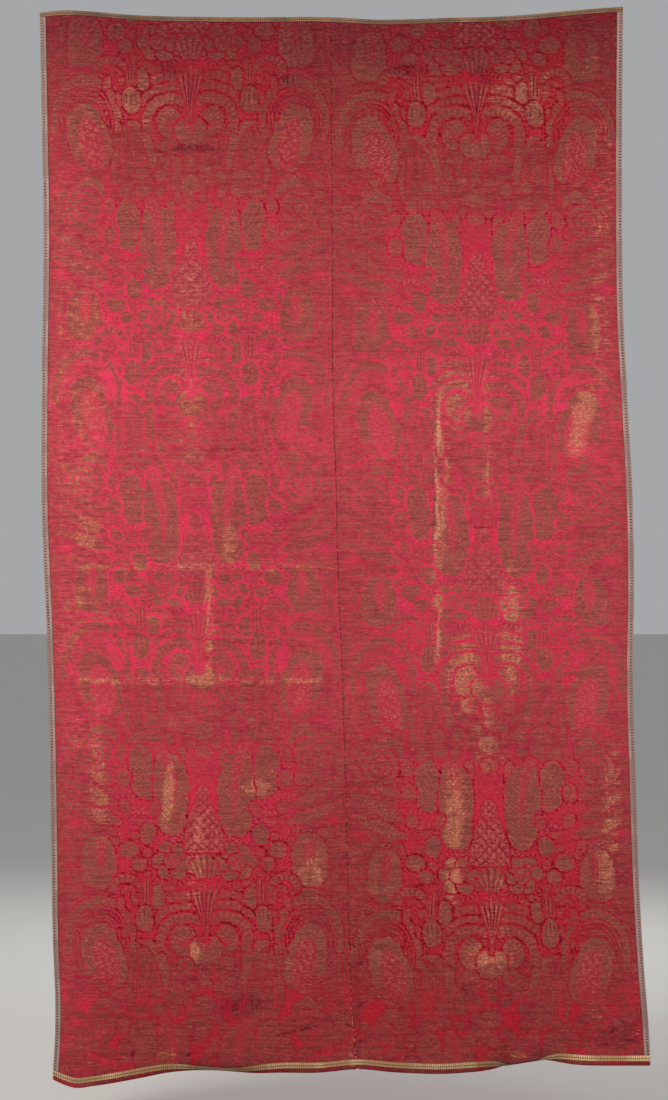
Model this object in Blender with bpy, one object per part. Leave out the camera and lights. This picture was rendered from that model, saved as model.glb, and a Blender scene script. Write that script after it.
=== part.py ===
"""A hung brocade panel: two loom widths of crimson figured silk, seamed down the middle, edged with metal braid.

The cloth hangs in the XZ plane and faces -Y. The origin is the middle of its top edge.
Tables are in millimetres, as read off the hung cloth; build() turns them into metres.
"""

import bmesh
import bpy
import numpy as np
from mathutils import Vector

MM = 0.001

# The cloth itself
CLOTH_THICK = 1.2
LAYER_GAP = 0.5  # between the cloth and its turned-back edge
PIECE_GAP = 0.3  # between pieces that touch
TURN_RADIUS = (CLOTH_THICK + LAYER_GAP) / 2  # of the cloth's mid-surface round a turned edge
TURN_REACH = TURN_RADIUS + CLOTH_THICK / 2  # how far a turned edge stands past its fold line
SIDE_TURNING = 13.0
HEM_TURNING = 22.0
HEADING_TURNING = 16.0

# The braid sewn round the front
BRAID_THICK = 1.0
SIDE_BRAID = 11.0
TOP_BRAID = 8.5
BOTTOM_BRAID = 11.0
BOTTOM_BRAID_ABOVE_EDGE = 8.0
BRAID_OVERHANG = 0.4  # past the cloth's turned edge

# How the loose hem rolls
HEM_LENGTH = 62.0
HEM_STEPS = 16
HEM_ROLL_POWER = 1.6  # the roll is tightest at the very edge

# The flaps of the turned-back edges lie flat, so those at the sides end where the heading's and the hem's begin
ROWS_CLEAR_OF_HEADING = 3
ROWS_CLEAR_OF_HEM = 6
SHARP_ANGLE = 50

# Outline of the hung panel: z is height, x is across, both from the middle of the top edge
LEFT_EDGE = {
    "z": (9, -207, -392, -670, -947, -1040, -1132, -1410, -1687, -1872, -1965),
    "x": (-540, -536, -533, -536, -535, -531, -527, -520, -516, -511, -516),
}
RIGHT_EDGE = {
    "z": (20, -207, -392, -577, -670, -762, -855, -1040, -1225, -1410, -1595, -1780, -1872, -1933),
    "x": (538, 536, 536, 539, 544, 549, 554, 558, 556, 561, 567, 578, 585, 588),
}
SEAM_LINE = {
    "z": (5, -448, -744, -836, -1003, -1188, -1373, -1539, -1724, -1854, -1940),
    "x": (-2, 1, 3, 7, 11, 18, 24, 28, 33, 39, 47),
}
TOP_EDGE = {
    "x": (-540, -503, -444, -385, -296, -118, 0, 89, 148, 237, 326, 385, 444, 503, 538),
    "z": (9, 13, 11, 6, 2, 1, 1, -4, -3, 0, 3, 7, 13, 18, 20),
}
BOTTOM_EDGE = {
    "x": (-516, -494, -474, -444, -355, -296, -237, -148, -89, -30, 59, 118, 237, 296, 340, 385, 444, 533, 588),
    "z": (-1962, -1971, -1976, -1973, -1961, -1952, -1950, -1954, -1950, -1949, -1943, -1948, -1950, -1946,
          -1938, -1933, -1935, -1935, -1936),
}
# The angle that the hem's edge has turned through, in degrees: backwards is positive
HEM_CURL = {
    "x": (-516, -455, -372, -305, -240, -185, -128, -58, 25, 126, 237, 296, 336, 362, 396, 440, 516, 588),
    "deg": (-12, -34, -22, 22, 70, 74, 24, -20, -34, -26, -20, 30, 112, 122, 74, -8, -32, -28),
}

# Soft folds that run down the cloth. Forward, towards -Y, is positive
FOLDS = (
    # x at the top, x at the hem, half width, forward at the top, forward at the hem
    {"top": -478, "hem": -470, "half": 62, "at_top": 1.5, "at_hem": 7.0},
    {"top": -365, "hem": -352, "half": 58, "at_top": -1.0, "at_hem": -7.5},
    {"top": -248, "hem": -226, "half": 46, "at_top": 3.0, "at_hem": 6.0},
    {"top": -112, "hem": -96, "half": 60, "at_top": -1.0, "at_hem": 5.0},
    {"top": -4, "hem": 38, "half": 34, "at_top": -2.0, "at_hem": -6.0},
    {"top": 104, "hem": 120, "half": 56, "at_top": 1.0, "at_hem": 5.0},
    {"top": 204, "hem": 196, "half": 30, "at_top": 3.5, "at_hem": 3.0},
    {"top": 286, "hem": 312, "half": 48, "at_top": -1.5, "at_hem": 6.5},
    {"top": 382, "hem": 404, "half": 52, "at_top": 2.0, "at_hem": -7.5},
    {"top": 478, "hem": 516, "half": 44, "at_top": -1.0, "at_hem": 7.0},
)
# Old storage creases that run across one loom width or part of it
CREASES = (
    # height at the left end and at the right end, both ends across, half width, forward
    {"z_left": -337, "z_right": -334, "from": -420, "to": -30, "half": 22, "forward": 1.2},
    {"z_left": -290, "z_right": -288, "from": 20, "to": 480, "half": 22, "forward": 1.0},
    {"z_left": -800, "z_right": -806, "from": -330, "to": -60, "half": 20, "forward": -1.8},
    {"z_left": -1018, "z_right": -1018, "from": -540, "to": -10, "half": 16, "forward": 2.6},
    {"z_left": -1152, "z_right": -1112, "from": -440, "to": -20, "half": 20, "forward": -2.4},
    {"z_left": -1226, "z_right": -1230, "from": -530, "to": 0, "half": 16, "forward": 2.8},
    {"z_left": -1392, "z_right": -1390, "from": 20, "to": 360, "half": 20, "forward": 1.8},
    {"z_left": -1560, "z_right": -1556, "from": 60, "to": 400, "half": 26, "forward": -1.4},
)
CREASE_END_FADE = 45.0
HEM_BELLY = {"height": 105.0, "above_edge": 62.0, "forward": 5.0}  # the cloth bulges above the braid

# Mesh steps
COLUMNS_PER_WIDTH = 19
ROWS_BETWEEN_BRAIDS = 38
CURL_CROWDING = 1.1  # how much closer the columns stand where the hem's roll changes by a degree a millimetre
CREASE_CROWDING = 2.4  # how much closer the rows stand on a crease
SOFT_TURN_ANGLES = (60, 120)
FLAT_TURN = 180

COLOURS = {
    "silk": {"base": (0.36, 0.03, 0.05, 1.0), "roughness": 0.62, "metallic": 0.0},
    "side_braid": {"base": (0.42, 0.30, 0.22, 1.0), "roughness": 0.45, "metallic": 0.5},
    "end_braid": {"base": (0.42, 0.27, 0.12, 1.0), "roughness": 0.42, "metallic": 0.6},
}


def along(table, key, value, at):
    """A smooth curve through a table's rows, read at many places."""
    keys = np.asarray(table[key], float)
    values = np.asarray(table[value], float)
    order = np.argsort(keys)
    keys, values = keys[order], values[order]
    slopes = np.gradient(values, keys)
    at = np.clip(at, keys[0], keys[-1])
    low = np.clip(np.searchsorted(keys, at) - 1, 0, len(keys) - 2)
    span = keys[low + 1] - keys[low]
    t = (at - keys[low]) / span
    start = (2 * t**3 - 3 * t**2 + 1) * values[low] + (t**3 - 2 * t**2 + t) * span * slopes[low]
    end = (3 * t**2 - 2 * t**3) * values[low + 1] + (t**3 - t**2) * span * slopes[low + 1]
    return start + end


def smooth_step(t):
    t = np.clip(t, 0.0, 1.0)
    return t * t * (3 - 2 * t)


def bump(distance, half):
    return np.exp(-((distance / half) ** 2))


def forward_of(x, z):
    """How far the hung cloth stands forward: its folds, its creases and the belly above the hem."""
    share = np.clip(z / BOTTOM_EDGE["z"][0], 0.0, 1.0)
    forward = np.zeros_like(x)
    for fold in FOLDS:
        line = fold["top"] + (fold["hem"] - fold["top"]) * share
        height = fold["at_top"] + (fold["at_hem"] - fold["at_top"]) * share
        forward += height * bump(x - line, fold["half"])
    for crease in CREASES:
        place = (x - crease["from"]) / (crease["to"] - crease["from"])
        line = crease["z_left"] + (crease["z_right"] - crease["z_left"]) * place
        fade = smooth_step(np.minimum(x - crease["from"], crease["to"] - x) / CREASE_END_FADE)
        forward += crease["forward"] * fade * bump(z - line, crease["half"])
    above = z - along(BOTTOM_EDGE, "x", "z", x) - HEM_BELLY["above_edge"]
    return forward + HEM_BELLY["forward"] * bump(above, HEM_BELLY["height"])


def hem_path(curl_deg, length):
    """How far a length of the rolling hem drops, how low it gets on the way, and how far it goes backwards."""
    drop = np.zeros_like(curl_deg)
    lowest = np.zeros_like(curl_deg)
    backward = np.zeros_like(curl_deg)
    step = HEM_LENGTH / HEM_STEPS
    for i in range(HEM_STEPS):
        angle = np.radians(curl_deg) * ((i + 0.5) / HEM_STEPS) ** HEM_ROLL_POWER
        used = np.clip(length - i * step, 0.0, step)
        drop += np.cos(angle) * used
        lowest = np.maximum(lowest, drop)
        backward += np.sin(angle) * used
    return drop, lowest, backward


def fold_lines(side, z):
    """Where one loom width's two fold lines are at a height."""
    seam = along(SEAM_LINE, "z", "x", z)
    if side == "left":
        return along(LEFT_EDGE, "z", "x", z) + TURN_REACH, seam - TURN_REACH - PIECE_GAP / 2
    return seam + TURN_REACH + PIECE_GAP / 2, along(RIGHT_EDGE, "z", "x", z) - TURN_REACH


def hung_points(side, share, down_share, down_mm):
    """Points of the cloth's mid-surface. share runs across one loom width from its left fold line to its right one;
    the place down the cloth is down_share of its length plus down_mm."""
    z = np.full_like(share, -1000.0)
    for _ in range(6):
        start, end = fold_lines(side, z)
        x = start + (end - start) * share
        curl = along(HEM_CURL, "x", "deg", x)
        top = along(TOP_EDGE, "x", "z", x) - TURN_REACH
        bottom = along(BOTTOM_EDGE, "x", "z", x) + TURN_REACH
        _, whole_drop, _ = hem_path(curl, np.full_like(x, HEM_LENGTH))
        body = top - bottom - whole_drop
        down = down_share * (body + HEM_LENGTH) + down_mm
        hem_drop, _, backward = hem_path(curl, np.maximum(down - body, 0.0))
        z = top - np.minimum(down, body) - hem_drop
    return np.stack([x, backward - forward_of(x, z), z], axis=-1)


def unit(vectors):
    return vectors / np.linalg.norm(vectors, axis=-1, keepdims=True)


def frames(side, share, down_share, down_mm):
    """The cloth's points, their unit directions across and down, and their normals, which face the front."""
    points = hung_points(side, share, down_share, down_mm)
    near, far = (hung_points(side, share + step, down_share, down_mm) for step in (-0.002, 0.002))
    above, below = (hung_points(side, share, down_share, down_mm + step) for step in (-1.0, 1.0))
    across, down = unit(far - near), unit(below - above)
    return points, across, down, unit(np.cross(down, across))


def turned(sign, width):
    """Steps of a line round a turned edge and back behind the cloth: (place, outward, back, turn in degrees)."""
    steps = []
    for deg in SOFT_TURN_ANGLES:
        angle = np.radians(deg)
        steps.append((0.0, sign * TURN_RADIUS * np.sin(angle), TURN_RADIUS * (1 - np.cos(angle)), deg))
    steps.append((0.0, 0.0, 2 * TURN_RADIUS, FLAT_TURN))
    steps.append((-sign * width, 0.0, 2 * TURN_RADIUS, FLAT_TURN))
    return steps


def crowded_steps(count, density):
    """Steps from 0 to 1 that stand closest together where density is high."""
    fine = np.linspace(0.0, 1.0, 601)
    weight = density(fine)
    total = np.concatenate(([0.0], np.cumsum((weight[1:] + weight[:-1]) / 2)))
    return np.interp(np.linspace(0.0, total[-1], count + 1), total, fine)


def column_table(side):
    """One loom width's columns, one row of the table each: (share, outward, back, turn)."""
    start, end = fold_lines(side, np.array([BOTTOM_EDGE["z"][0]], float))
    width = (end - start)[0]

    def density(share):
        x = start + width * share
        change = np.abs(np.gradient(along(HEM_CURL, "x", "deg", x), x))
        return 1 + CURL_CROWDING * change

    braid_line = (SIDE_BRAID - TURN_REACH - BRAID_OVERHANG) / width
    if side == "left":
        shares = np.concatenate(([0.0], braid_line + (1 - braid_line) * crowded_steps(COLUMNS_PER_WIDTH, density)))
    else:
        shares = np.concatenate(((1 - braid_line) * crowded_steps(COLUMNS_PER_WIDTH, density), [1.0]))
    left_turn = [(place / width, out, back, deg) for place, out, back, deg in turned(-1, SIDE_TURNING)]
    right_turn = [(1 + place / width, out, back, deg) for place, out, back, deg in turned(1, SIDE_TURNING)]
    return left_turn[::-1] + [(share, 0.0, 0.0, 0) for share in shares] + right_turn


def row_table():
    """The cloth's rows, one row of the table each: (share of its length, mm more, outward, back, turn)."""
    length = -BOTTOM_EDGE["z"][0]

    def density(share):
        z = -length * share
        crowd = np.ones_like(share)
        for crease in CREASES:
            middle = (crease["z_left"] + crease["z_right"]) / 2
            crowd += CREASE_CROWDING * bump(z - middle, 1.5 * crease["half"])
        return crowd

    top_braid_low = TOP_BRAID - TURN_REACH - BRAID_OVERHANG
    braid_low = TURN_REACH - BOTTOM_BRAID_ABOVE_EDGE
    braid_high = braid_low - BOTTOM_BRAID
    hem = (-66.0, -53.0, -42.0, -33.0, -25.0, braid_high - PIECE_GAP)
    hem += (braid_high, (braid_high + braid_low) / 2, braid_low, braid_low / 2, 0.0)
    front = [(0.0, mm, 0.0, 0.0, 0) for mm in (0.0, top_braid_low, top_braid_low + PIECE_GAP)]
    front += [(share, 0.0, 0.0, 0.0, 0) for share in crowded_steps(ROWS_BETWEEN_BRAIDS, density)[1:-1]]
    front += [(1.0, mm, 0.0, 0.0, 0) for mm in hem]
    top_turn = [(0.0, place, out, back, deg) for place, out, back, deg in turned(-1, HEADING_TURNING)]
    low_turn = [(1.0, place, out, back, deg) for place, out, back, deg in turned(1, HEM_TURNING)]
    return top_turn[::-1] + front + low_turn


def grid_points(side, columns, rows):
    """The mid-surface points and front normals of the columns and rows, round the turnings too."""
    across_table = np.array(columns)[:, None, :]
    down_table = np.array(rows)[None, :, :]
    share, out_x, back_x, turn_x, down_share, down_mm, out_z, back_z, turn_z = np.broadcast_arrays(
        *np.moveaxis(across_table, -1, 0), *np.moveaxis(down_table, -1, 0)
    )
    points, across, down, normals = frames(side, share, down_share, down_mm)
    turn = np.radians(turn_x + turn_z)[..., None]
    sideways = across * np.sign(share - 0.5)[..., None]
    lengthways = down * np.sign(down_share - 0.5)[..., None]
    outward = np.where(turn_x[..., None] > 0, sideways, lengthways)
    places = points + across * out_x[..., None] + down * out_z[..., None]
    places = places - normals * (back_x + back_z)[..., None]
    return places, normals * np.cos(turn) + outward * np.sin(turn)


def sheet_mesh(name, places, normals, cells, front, back):
    """A closed sheet over some cells of a grid, its faces set off from the mid-surface by front and back."""
    mesh = bmesh.new()
    verts = {}

    def vertex(key, level):
        if (key, level) not in verts:
            verts[key, level] = mesh.verts.new(Vector((places[key] + normals[key] * level) * MM))
        return verts[key, level]

    edges = set()
    for i, j in cells:
        a, b, c, d = (i, j), (i + 1, j), (i + 1, j + 1), (i, j + 1)
        for corners in ((a, d, c), (a, c, b)):
            mesh.faces.new([vertex(key, front) for key in corners])
            mesh.faces.new([vertex(key, back) for key in reversed(corners)])
        edges.update(((a, d), (d, c), (c, b), (b, a)))
    for start, end in sorted(edges):
        if (end, start) not in edges:
            mesh.faces.new([vertex(start, back), vertex(end, back), vertex(end, front)])
            mesh.faces.new([vertex(start, back), vertex(end, front), vertex(start, front)])
    data = bpy.data.meshes.new(name)
    mesh.to_mesh(data)
    mesh.free()
    return data


def material(name):
    finish = COLOURS[name]
    made = bpy.data.materials.new(name)
    made.use_nodes = True
    shader = made.node_tree.nodes["Principled BSDF"]
    shader.inputs["Base Color"].default_value = finish["base"]
    shader.inputs["Roughness"].default_value = finish["roughness"]
    shader.inputs["Metallic"].default_value = finish["metallic"]
    return made


def add_object(name, data, finish):
    data.materials.append(finish)
    data.shade_smooth()
    data.set_sharp_from_angle(angle=np.radians(SHARP_ANGLE))
    made = bpy.data.objects.new(name, data)
    bpy.context.scene.collection.objects.link(made)


def loom_width(name, side, columns, rows, finish):
    """One loom width with its edges turned back. The flaps at the sides stop short of the heading's and the hem's."""
    places, normals = grid_points(side, columns, rows)
    turns_x = [column[-1] for column in columns]
    turns_z = [row[-1] for row in rows]
    first_row, last_row = turns_z.index(0), len(turns_z) - 1 - turns_z[::-1].index(0)
    cells = []
    for i in range(len(columns) - 1):
        turn = max(turns_x[i], turns_x[i + 1])
        for j in range(len(rows) - 1):
            on_front_row = first_row <= j < last_row
            clear = first_row + ROWS_CLEAR_OF_HEADING <= j < last_row - ROWS_CLEAR_OF_HEM
            if turn == 0 or clear or (on_front_row and turn < FLAT_TURN):
                cells.append((i, j))
    thick = CLOTH_THICK / 2
    add_object(name, sheet_mesh(name, places, normals, cells, thick, -thick), finish)


def braid(name, places, normals, finish):
    """A flat braid over every cell of a grid, just clear of the cloth's front."""
    back = CLOTH_THICK / 2 + PIECE_GAP
    cells = [(i, j) for i in range(places.shape[0] - 1) for j in range(places.shape[1] - 1)]
    add_object(name, sheet_mesh(name, places, normals, cells, back + BRAID_THICK, back), finish)


def front_columns(side, columns):
    """The columns on the front of one loom width, with one more where the braid's outer line is."""
    reach = TURN_REACH + BRAID_OVERHANG
    front = [column for column in columns if column[-1] == 0]
    if side == "left":
        return [(0.0, -reach, 0.0, 0)] + front
    return front + [(1.0, reach, 0.0, 0)]


def build():
    for old in list(bpy.data.objects):
        bpy.data.objects.remove(old)
    finishes = {name: material(name) for name in COLOURS}
    rows = row_table()
    front_rows = [row for row in rows if row[-1] == 0]
    reach = TURN_REACH + BRAID_OVERHANG
    top_rows = [(0.0, 0.0, -reach, 0.0, 0)] + front_rows[:2]
    low_rows = front_rows[-5:-2]
    ends = {"braid_top": [], "braid_bottom": []}
    for side in ("left", "right"):
        columns = column_table(side)
        loom_width("brocade_" + side, side, columns, rows, finishes["silk"])
        front = front_columns(side, columns)
        outer = front[:3] if side == "left" else front[-3:]
        braid("braid_" + side, *grid_points(side, outer, front_rows[2:-5]), finishes["side_braid"])
        ends["braid_top"].append(grid_points(side, front, top_rows))
        ends["braid_bottom"].append(grid_points(side, front, low_rows))
    for name, widths in ends.items():
        places, normals = (np.concatenate(found) for found in zip(*widths))
        braid(name, places, normals, finishes["end_braid"])


build()
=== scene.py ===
"""Looks of the hung brocade panel: two loom widths of crimson figured silk, with a seam and metal braid.

The sheets lie on the folds of the solids: the tables of the outline, the folds and the hem's roll are those
of the solids, in millimetres. The repeat of the silk is drawn from shapes, in steps of 1.85 mm, and carried
by the sheets' vertices. The weave, the sheen, and light and shade painted into the colours are in the
materials.
"""

from types import SimpleNamespace

import bpy
import numpy as np
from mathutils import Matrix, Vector


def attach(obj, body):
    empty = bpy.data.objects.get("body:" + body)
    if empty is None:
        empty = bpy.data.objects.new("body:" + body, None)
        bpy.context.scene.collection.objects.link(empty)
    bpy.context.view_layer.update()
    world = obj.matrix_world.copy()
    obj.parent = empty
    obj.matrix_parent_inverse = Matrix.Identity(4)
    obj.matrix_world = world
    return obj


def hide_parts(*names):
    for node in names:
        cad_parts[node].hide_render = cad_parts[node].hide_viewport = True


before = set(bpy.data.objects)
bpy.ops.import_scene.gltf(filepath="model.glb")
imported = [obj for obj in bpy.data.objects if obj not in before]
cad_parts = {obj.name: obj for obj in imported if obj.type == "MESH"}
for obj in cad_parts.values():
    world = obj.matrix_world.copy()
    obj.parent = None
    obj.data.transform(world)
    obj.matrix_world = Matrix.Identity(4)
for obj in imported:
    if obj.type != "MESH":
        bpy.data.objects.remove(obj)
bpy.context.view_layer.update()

MM = 0.001

# The cloth itself
CLOTH_THICK = 1.2
LAYER_GAP = 0.5  # between the cloth and its turned-back edge
PIECE_GAP = 0.3  # between pieces that touch
TURN_RADIUS = (CLOTH_THICK + LAYER_GAP) / 2  # of the cloth's mid-surface round a turned edge
TURN_REACH = TURN_RADIUS + CLOTH_THICK / 2  # how far a turned edge stands past its fold line
SIDE_TURNING = 13
HEM_TURNING = 22
HEADING_TURNING = 16

# The braid sewn round the front
BRAID_THICK = 1
SIDE_BRAID = 11
TOP_BRAID = 8.5
BOTTOM_BRAID = 11
BOTTOM_BRAID_ABOVE_EDGE = 8
BRAID_OVERHANG = 0.4  # past the cloth's turned edge

# How the loose hem rolls
HEM_LENGTH = 62
HEM_STEPS = 16
HEM_ROLL_POWER = 1.6  # the roll is tightest at the very edge

# Outline of the hung panel: z is height, x is across, both from the middle of the top edge
LEFT_EDGE = {
    "z": (9, -207, -392, -670, -947, -1040, -1132, -1410, -1687, -1872, -1965),
    "x": (-540, -536, -533, -536, -535, -531, -527, -520, -516, -511, -516),
}
RIGHT_EDGE = {
    "z": (20, -207, -392, -577, -670, -762, -855, -1040, -1225, -1410, -1595, -1780, -1872, -1933),
    "x": (538, 536, 536, 539, 544, 549, 554, 558, 556, 561, 567, 578, 585, 588),
}
SEAM_LINE = {
    "z": (5, -448, -744, -836, -1003, -1188, -1373, -1539, -1724, -1854, -1940),
    "x": (-2, 1, 3, 7, 11, 18, 24, 28, 33, 39, 47),
}
TOP_EDGE = {
    "x": (-540, -503, -444, -385, -296, -118, 0, 89, 148, 237, 326, 385, 444, 503, 538),
    "z": (9, 13, 11, 6, 2, 1, 1, -4, -3, 0, 3, 7, 13, 18, 20),
}
BOTTOM_EDGE = {
    "x": (-516, -494, -474, -444, -355, -296, -237, -148, -89, -30, 59, 118, 237, 296, 340, 385, 444, 533,
          588),
    "z": (-1962, -1971, -1976, -1973, -1961, -1952, -1950, -1954, -1950, -1949, -1943, -1948, -1950, -1946,
          -1938, -1933, -1935, -1935, -1936),
}
# The angle that the hem's edge has turned through, in degrees: backwards is positive
HEM_CURL = {
    "x": (-516, -455, -372, -305, -240, -185, -128, -58, 25, 126, 237, 296, 336, 362, 396, 440, 516, 588),
    "deg": (-12, -34, -22, 22, 70, 74, 24, -20, -34, -26, -20, 30, 112, 122, 74, -8, -32, -28),
}


def table(names, *rows):
    """The rows of a table, with each number under the name of its column."""
    return [SimpleNamespace(**dict(zip(names.split(), row))) for row in rows]


# Soft folds that run down the cloth: x at the top and at the hem, half width, how far forward at both ends
FOLDS = table(
    "top hem half at_top at_hem",
    (-478, -470, 62, 1.5, 7),
    (-365, -352, 58, -1, -7.5),
    (-248, -226, 46, 3, 6),
    (-112, -96, 60, -1, 5),
    (-4, 38, 34, -2, -6),
    (104, 120, 56, 1, 5),
    (204, 196, 30, 3.5, 3),
    (286, 312, 48, -1.5, 6.5),
    (382, 404, 52, 2, -7.5),
    (478, 516, 44, -1, 7),
)
# Old storage creases across the cloth: height at the left and right ends, x of both ends, half width, forward
CREASES = table(
    "z_left z_right start end half forward",
    (-337, -334, -420, -30, 22, 1.2),
    (-290, -288, 20, 480, 22, 1),
    (-800, -806, -330, -60, 20, -1.8),
    (-1018, -1018, -540, -10, 16, 2.6),
    (-1152, -1112, -440, -20, 20, -2.4),
    (-1226, -1230, -530, 0, 16, 2.8),
    (-1392, -1390, 20, 360, 20, 1.8),
    (-1560, -1556, 60, 400, 26, -1.4),
)
CREASE_END_FADE = 45
HEM_BELLY = {"height": 105, "above_edge": 62, "forward": 5}  # the cloth bulges above the bottom braid

# Mesh steps of the sheets
SHEET_COLUMNS = 150
SHEET_ROWS = 575
BACK_COLUMNS = 36
BACK_ROWS = 110
SOFT_TURN_ANGLES = (45, 90, 135)
FLAT_TURN = 180
SHEET_THICK = 0.6
TURNINGS = (HEADING_TURNING, HEM_TURNING)
SPARE_ROWS = 2  # left free of the side turnings next to the heading's and the hem's
CLOTH_WIDE = 536  # one loom width between its turned edges
CLOTH_LONG = 1950
PLACE_ROUNDS = 6  # how often a place's height and its x are worked out from each other
NEAR_SHARE = 0.002
NEAR_MM = 1
SIDE_BRAID_GRID = (11, 1300)
END_BRAID_GRID = (300, 9)
RIBBON_THICK = 0.7
RELIEF = 0.0006  # how high the weave stands in the bump of the materials, in metres
STRIP_DIMMING = 0.34  # painted shade on the narrow strip below the bottom braid
SCALLOP = 0.5  # how far the side braid's outer edge waves
DASH_STEP = 5.4
FACE = CLOTH_THICK / 2 + PIECE_GAP + BRAID_THICK
BRAID_REACH = TURN_REACH + BRAID_OVERHANG
SEAM_TOUCH = 0.22
LAYER = {"left": 0, "right": 400}  # keeps the weave's noise apart on the two loom widths

# Where the drawn repeat lies, in steps of the drawing: the middle of the top edge is at ZERO
STEP = 1.85
ZERO = {"x": 332, "y": 18}
VIEW = {"x": 334, "y": 550, "high": 1100}
REPEAT = 273
FOOT = 965  # below it the contrast fades
FAR = 30  # further than the edge of any shape matters
AXIS = {
    "left": {"y": (20, 420, 600, 775, 1060), "x": (190, 191.5, 198, 203.6, 206)},
    "right": {"y": (20, 400, 654, 900, 1060), "x": (475, 478, 487, 491, 492)},
}
CROWN = {"left": 229, "right": 243}


def along(table, key, value, at):
    """A smooth curve through a table's rows, read at many places."""
    keys = np.asarray(table[key], float)
    values = np.asarray(table[value], float)
    order = np.argsort(keys)
    keys, values = keys[order], values[order]
    slopes = np.gradient(values, keys)
    at = np.clip(at, keys[0], keys[-1])
    low = np.clip(np.searchsorted(keys, at) - 1, 0, len(keys) - 2)
    span = keys[low + 1] - keys[low]
    t = (at - keys[low]) / span
    start = (2 * t**3 - 3 * t**2 + 1) * values[low] + (t**3 - 2 * t**2 + t) * span * slopes[low]
    end = (3 * t**2 - 2 * t**3) * values[low + 1] + (t**3 - t**2) * span * slopes[low + 1]
    return start + end


def ease(t):
    """Smoothly from 0 to 1 while t goes from 0 to 1."""
    t = np.clip(t, 0, 1)
    return t * t * (3 - 2 * t)


def wrap(d):
    """A distance down the cloth to the nearest of the repeats."""
    return (d + REPEAT / 2) % REPEAT - REPEAT / 2


def rotated(dx, dy, degrees):
    """Distances across and down, counted from directions that lean by some degrees."""
    c, s = np.cos(np.radians(degrees)), np.sin(np.radians(degrees))
    return dx * c + dy * s, dy * c - dx * s


def to_band(x, y, stops):
    """How far each place lies outside a band through stops of x, y and half width."""
    best = np.full_like(x, np.inf)
    for (x0, y0, w0), (x1, y1, w1) in zip(stops[:-1], stops[1:]):
        run, fall = x1 - x0, y1 - y0
        t = np.clip(((x - x0) * run + (y - y0) * fall) / (run * run + fall * fall), 0, 1)
        best = np.minimum(best, np.hypot(x - x0 - run * t, y - y0 - fall * t) - (w0 + (w1 - w0) * t))
    return best


def bump(distance, half):
    """A soft hill, one high."""
    return np.exp(-((distance / half) ** 2))


def forward_of(x, z):
    """How far the hung cloth stands forward: its folds, its creases and the belly above the hem."""
    share = np.clip(z / BOTTOM_EDGE["z"][0], 0, 1)
    forward = np.zeros_like(x)
    for fold in FOLDS:
        line = fold.top + (fold.hem - fold.top) * share
        height = fold.at_top + (fold.at_hem - fold.at_top) * share
        forward += height * bump(x - line, fold.half)
    for crease in CREASES:
        place = (x - crease.start) / (crease.end - crease.start)
        line = crease.z_left + (crease.z_right - crease.z_left) * place
        fade = ease(np.minimum(x - crease.start, crease.end - x) / CREASE_END_FADE)
        forward += crease.forward * fade * bump(z - line, crease.half)
    above = z - along(BOTTOM_EDGE, "x", "z", x) - HEM_BELLY["above_edge"]
    return forward + HEM_BELLY["forward"] * bump(above, HEM_BELLY["height"])


def hem_path(curl_deg, length):
    """How far a length of the rolling hem drops, how low it gets on the way, and how far back it goes."""
    drop, lowest, backward = (np.zeros_like(curl_deg) for _ in range(3))
    step = HEM_LENGTH / HEM_STEPS
    for i in range(HEM_STEPS):
        angle = np.radians(curl_deg) * ((i + 0.5) / HEM_STEPS) ** HEM_ROLL_POWER
        used = np.clip(length - i * step, 0, step)
        drop += np.cos(angle) * used
        lowest = np.maximum(lowest, drop)
        backward += np.sin(angle) * used
    return drop, lowest, backward


def fold_lines(side, z):
    """Where one loom width's two fold lines are at a height."""
    seam = along(SEAM_LINE, "z", "x", z)
    if side == "left":
        return along(LEFT_EDGE, "z", "x", z) + TURN_REACH, seam - TURN_REACH - PIECE_GAP / 2
    return seam + TURN_REACH + PIECE_GAP / 2, along(RIGHT_EDGE, "z", "x", z) - TURN_REACH


def hung_points(side, share, down_share, down_mm):
    """Points of the cloth's mid-surface, and their flat places across and down, in millimetres.

    share runs across one loom width from its left fold line to its right one, and the place down the cloth is
    down_share of its length plus down_mm.
    """
    z = np.full_like(share, -1000)
    for _ in range(PLACE_ROUNDS):
        start, end = fold_lines(side, z)
        x = start + (end - start) * share
        curl = along(HEM_CURL, "x", "deg", x)
        top = along(TOP_EDGE, "x", "z", x) - TURN_REACH
        bottom = along(BOTTOM_EDGE, "x", "z", x) + TURN_REACH
        _, whole_drop, _ = hem_path(curl, np.full_like(x, HEM_LENGTH))
        body = top - bottom - whole_drop
        down = down_share * (body + HEM_LENGTH) + down_mm
        hem_drop, _, backward = hem_path(curl, np.maximum(down - body, 0))
        z = top - np.minimum(down, body) - hem_drop
    return np.stack([x, backward - forward_of(x, z), z], axis=-1), x, down - top


def unit(vectors):
    """The same directions, each one long."""
    return vectors / np.linalg.norm(vectors, axis=-1, keepdims=True)


def frames(side, share, down_share, down_mm):
    """The cloth's points, their flat places, their directions across and down, and the front's normals."""
    points, flat_x, flat_y = hung_points(side, share, down_share, down_mm)
    near, far = (hung_points(side, share + s, down_share, down_mm)[0] for s in (-NEAR_SHARE, NEAR_SHARE))
    above, below = (hung_points(side, share, down_share, down_mm + s)[0] for s in (-NEAR_MM, NEAR_MM))
    across, down = unit(far - near), unit(below - above)
    return points, flat_x, flat_y, across, down, unit(np.cross(down, across))


def turned(sign, width):
    """Steps of a line round a turned edge and back behind the cloth: place, outward, back, degrees."""
    steps = []
    for deg in SOFT_TURN_ANGLES:
        angle = np.radians(deg)
        steps.append((0, sign * TURN_RADIUS * np.sin(angle), TURN_RADIUS * (1 - np.cos(angle)), deg))
    return steps + [(place, 0, 2 * TURN_RADIUS, FLAT_TURN) for place in (0, -sign * width)]


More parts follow.
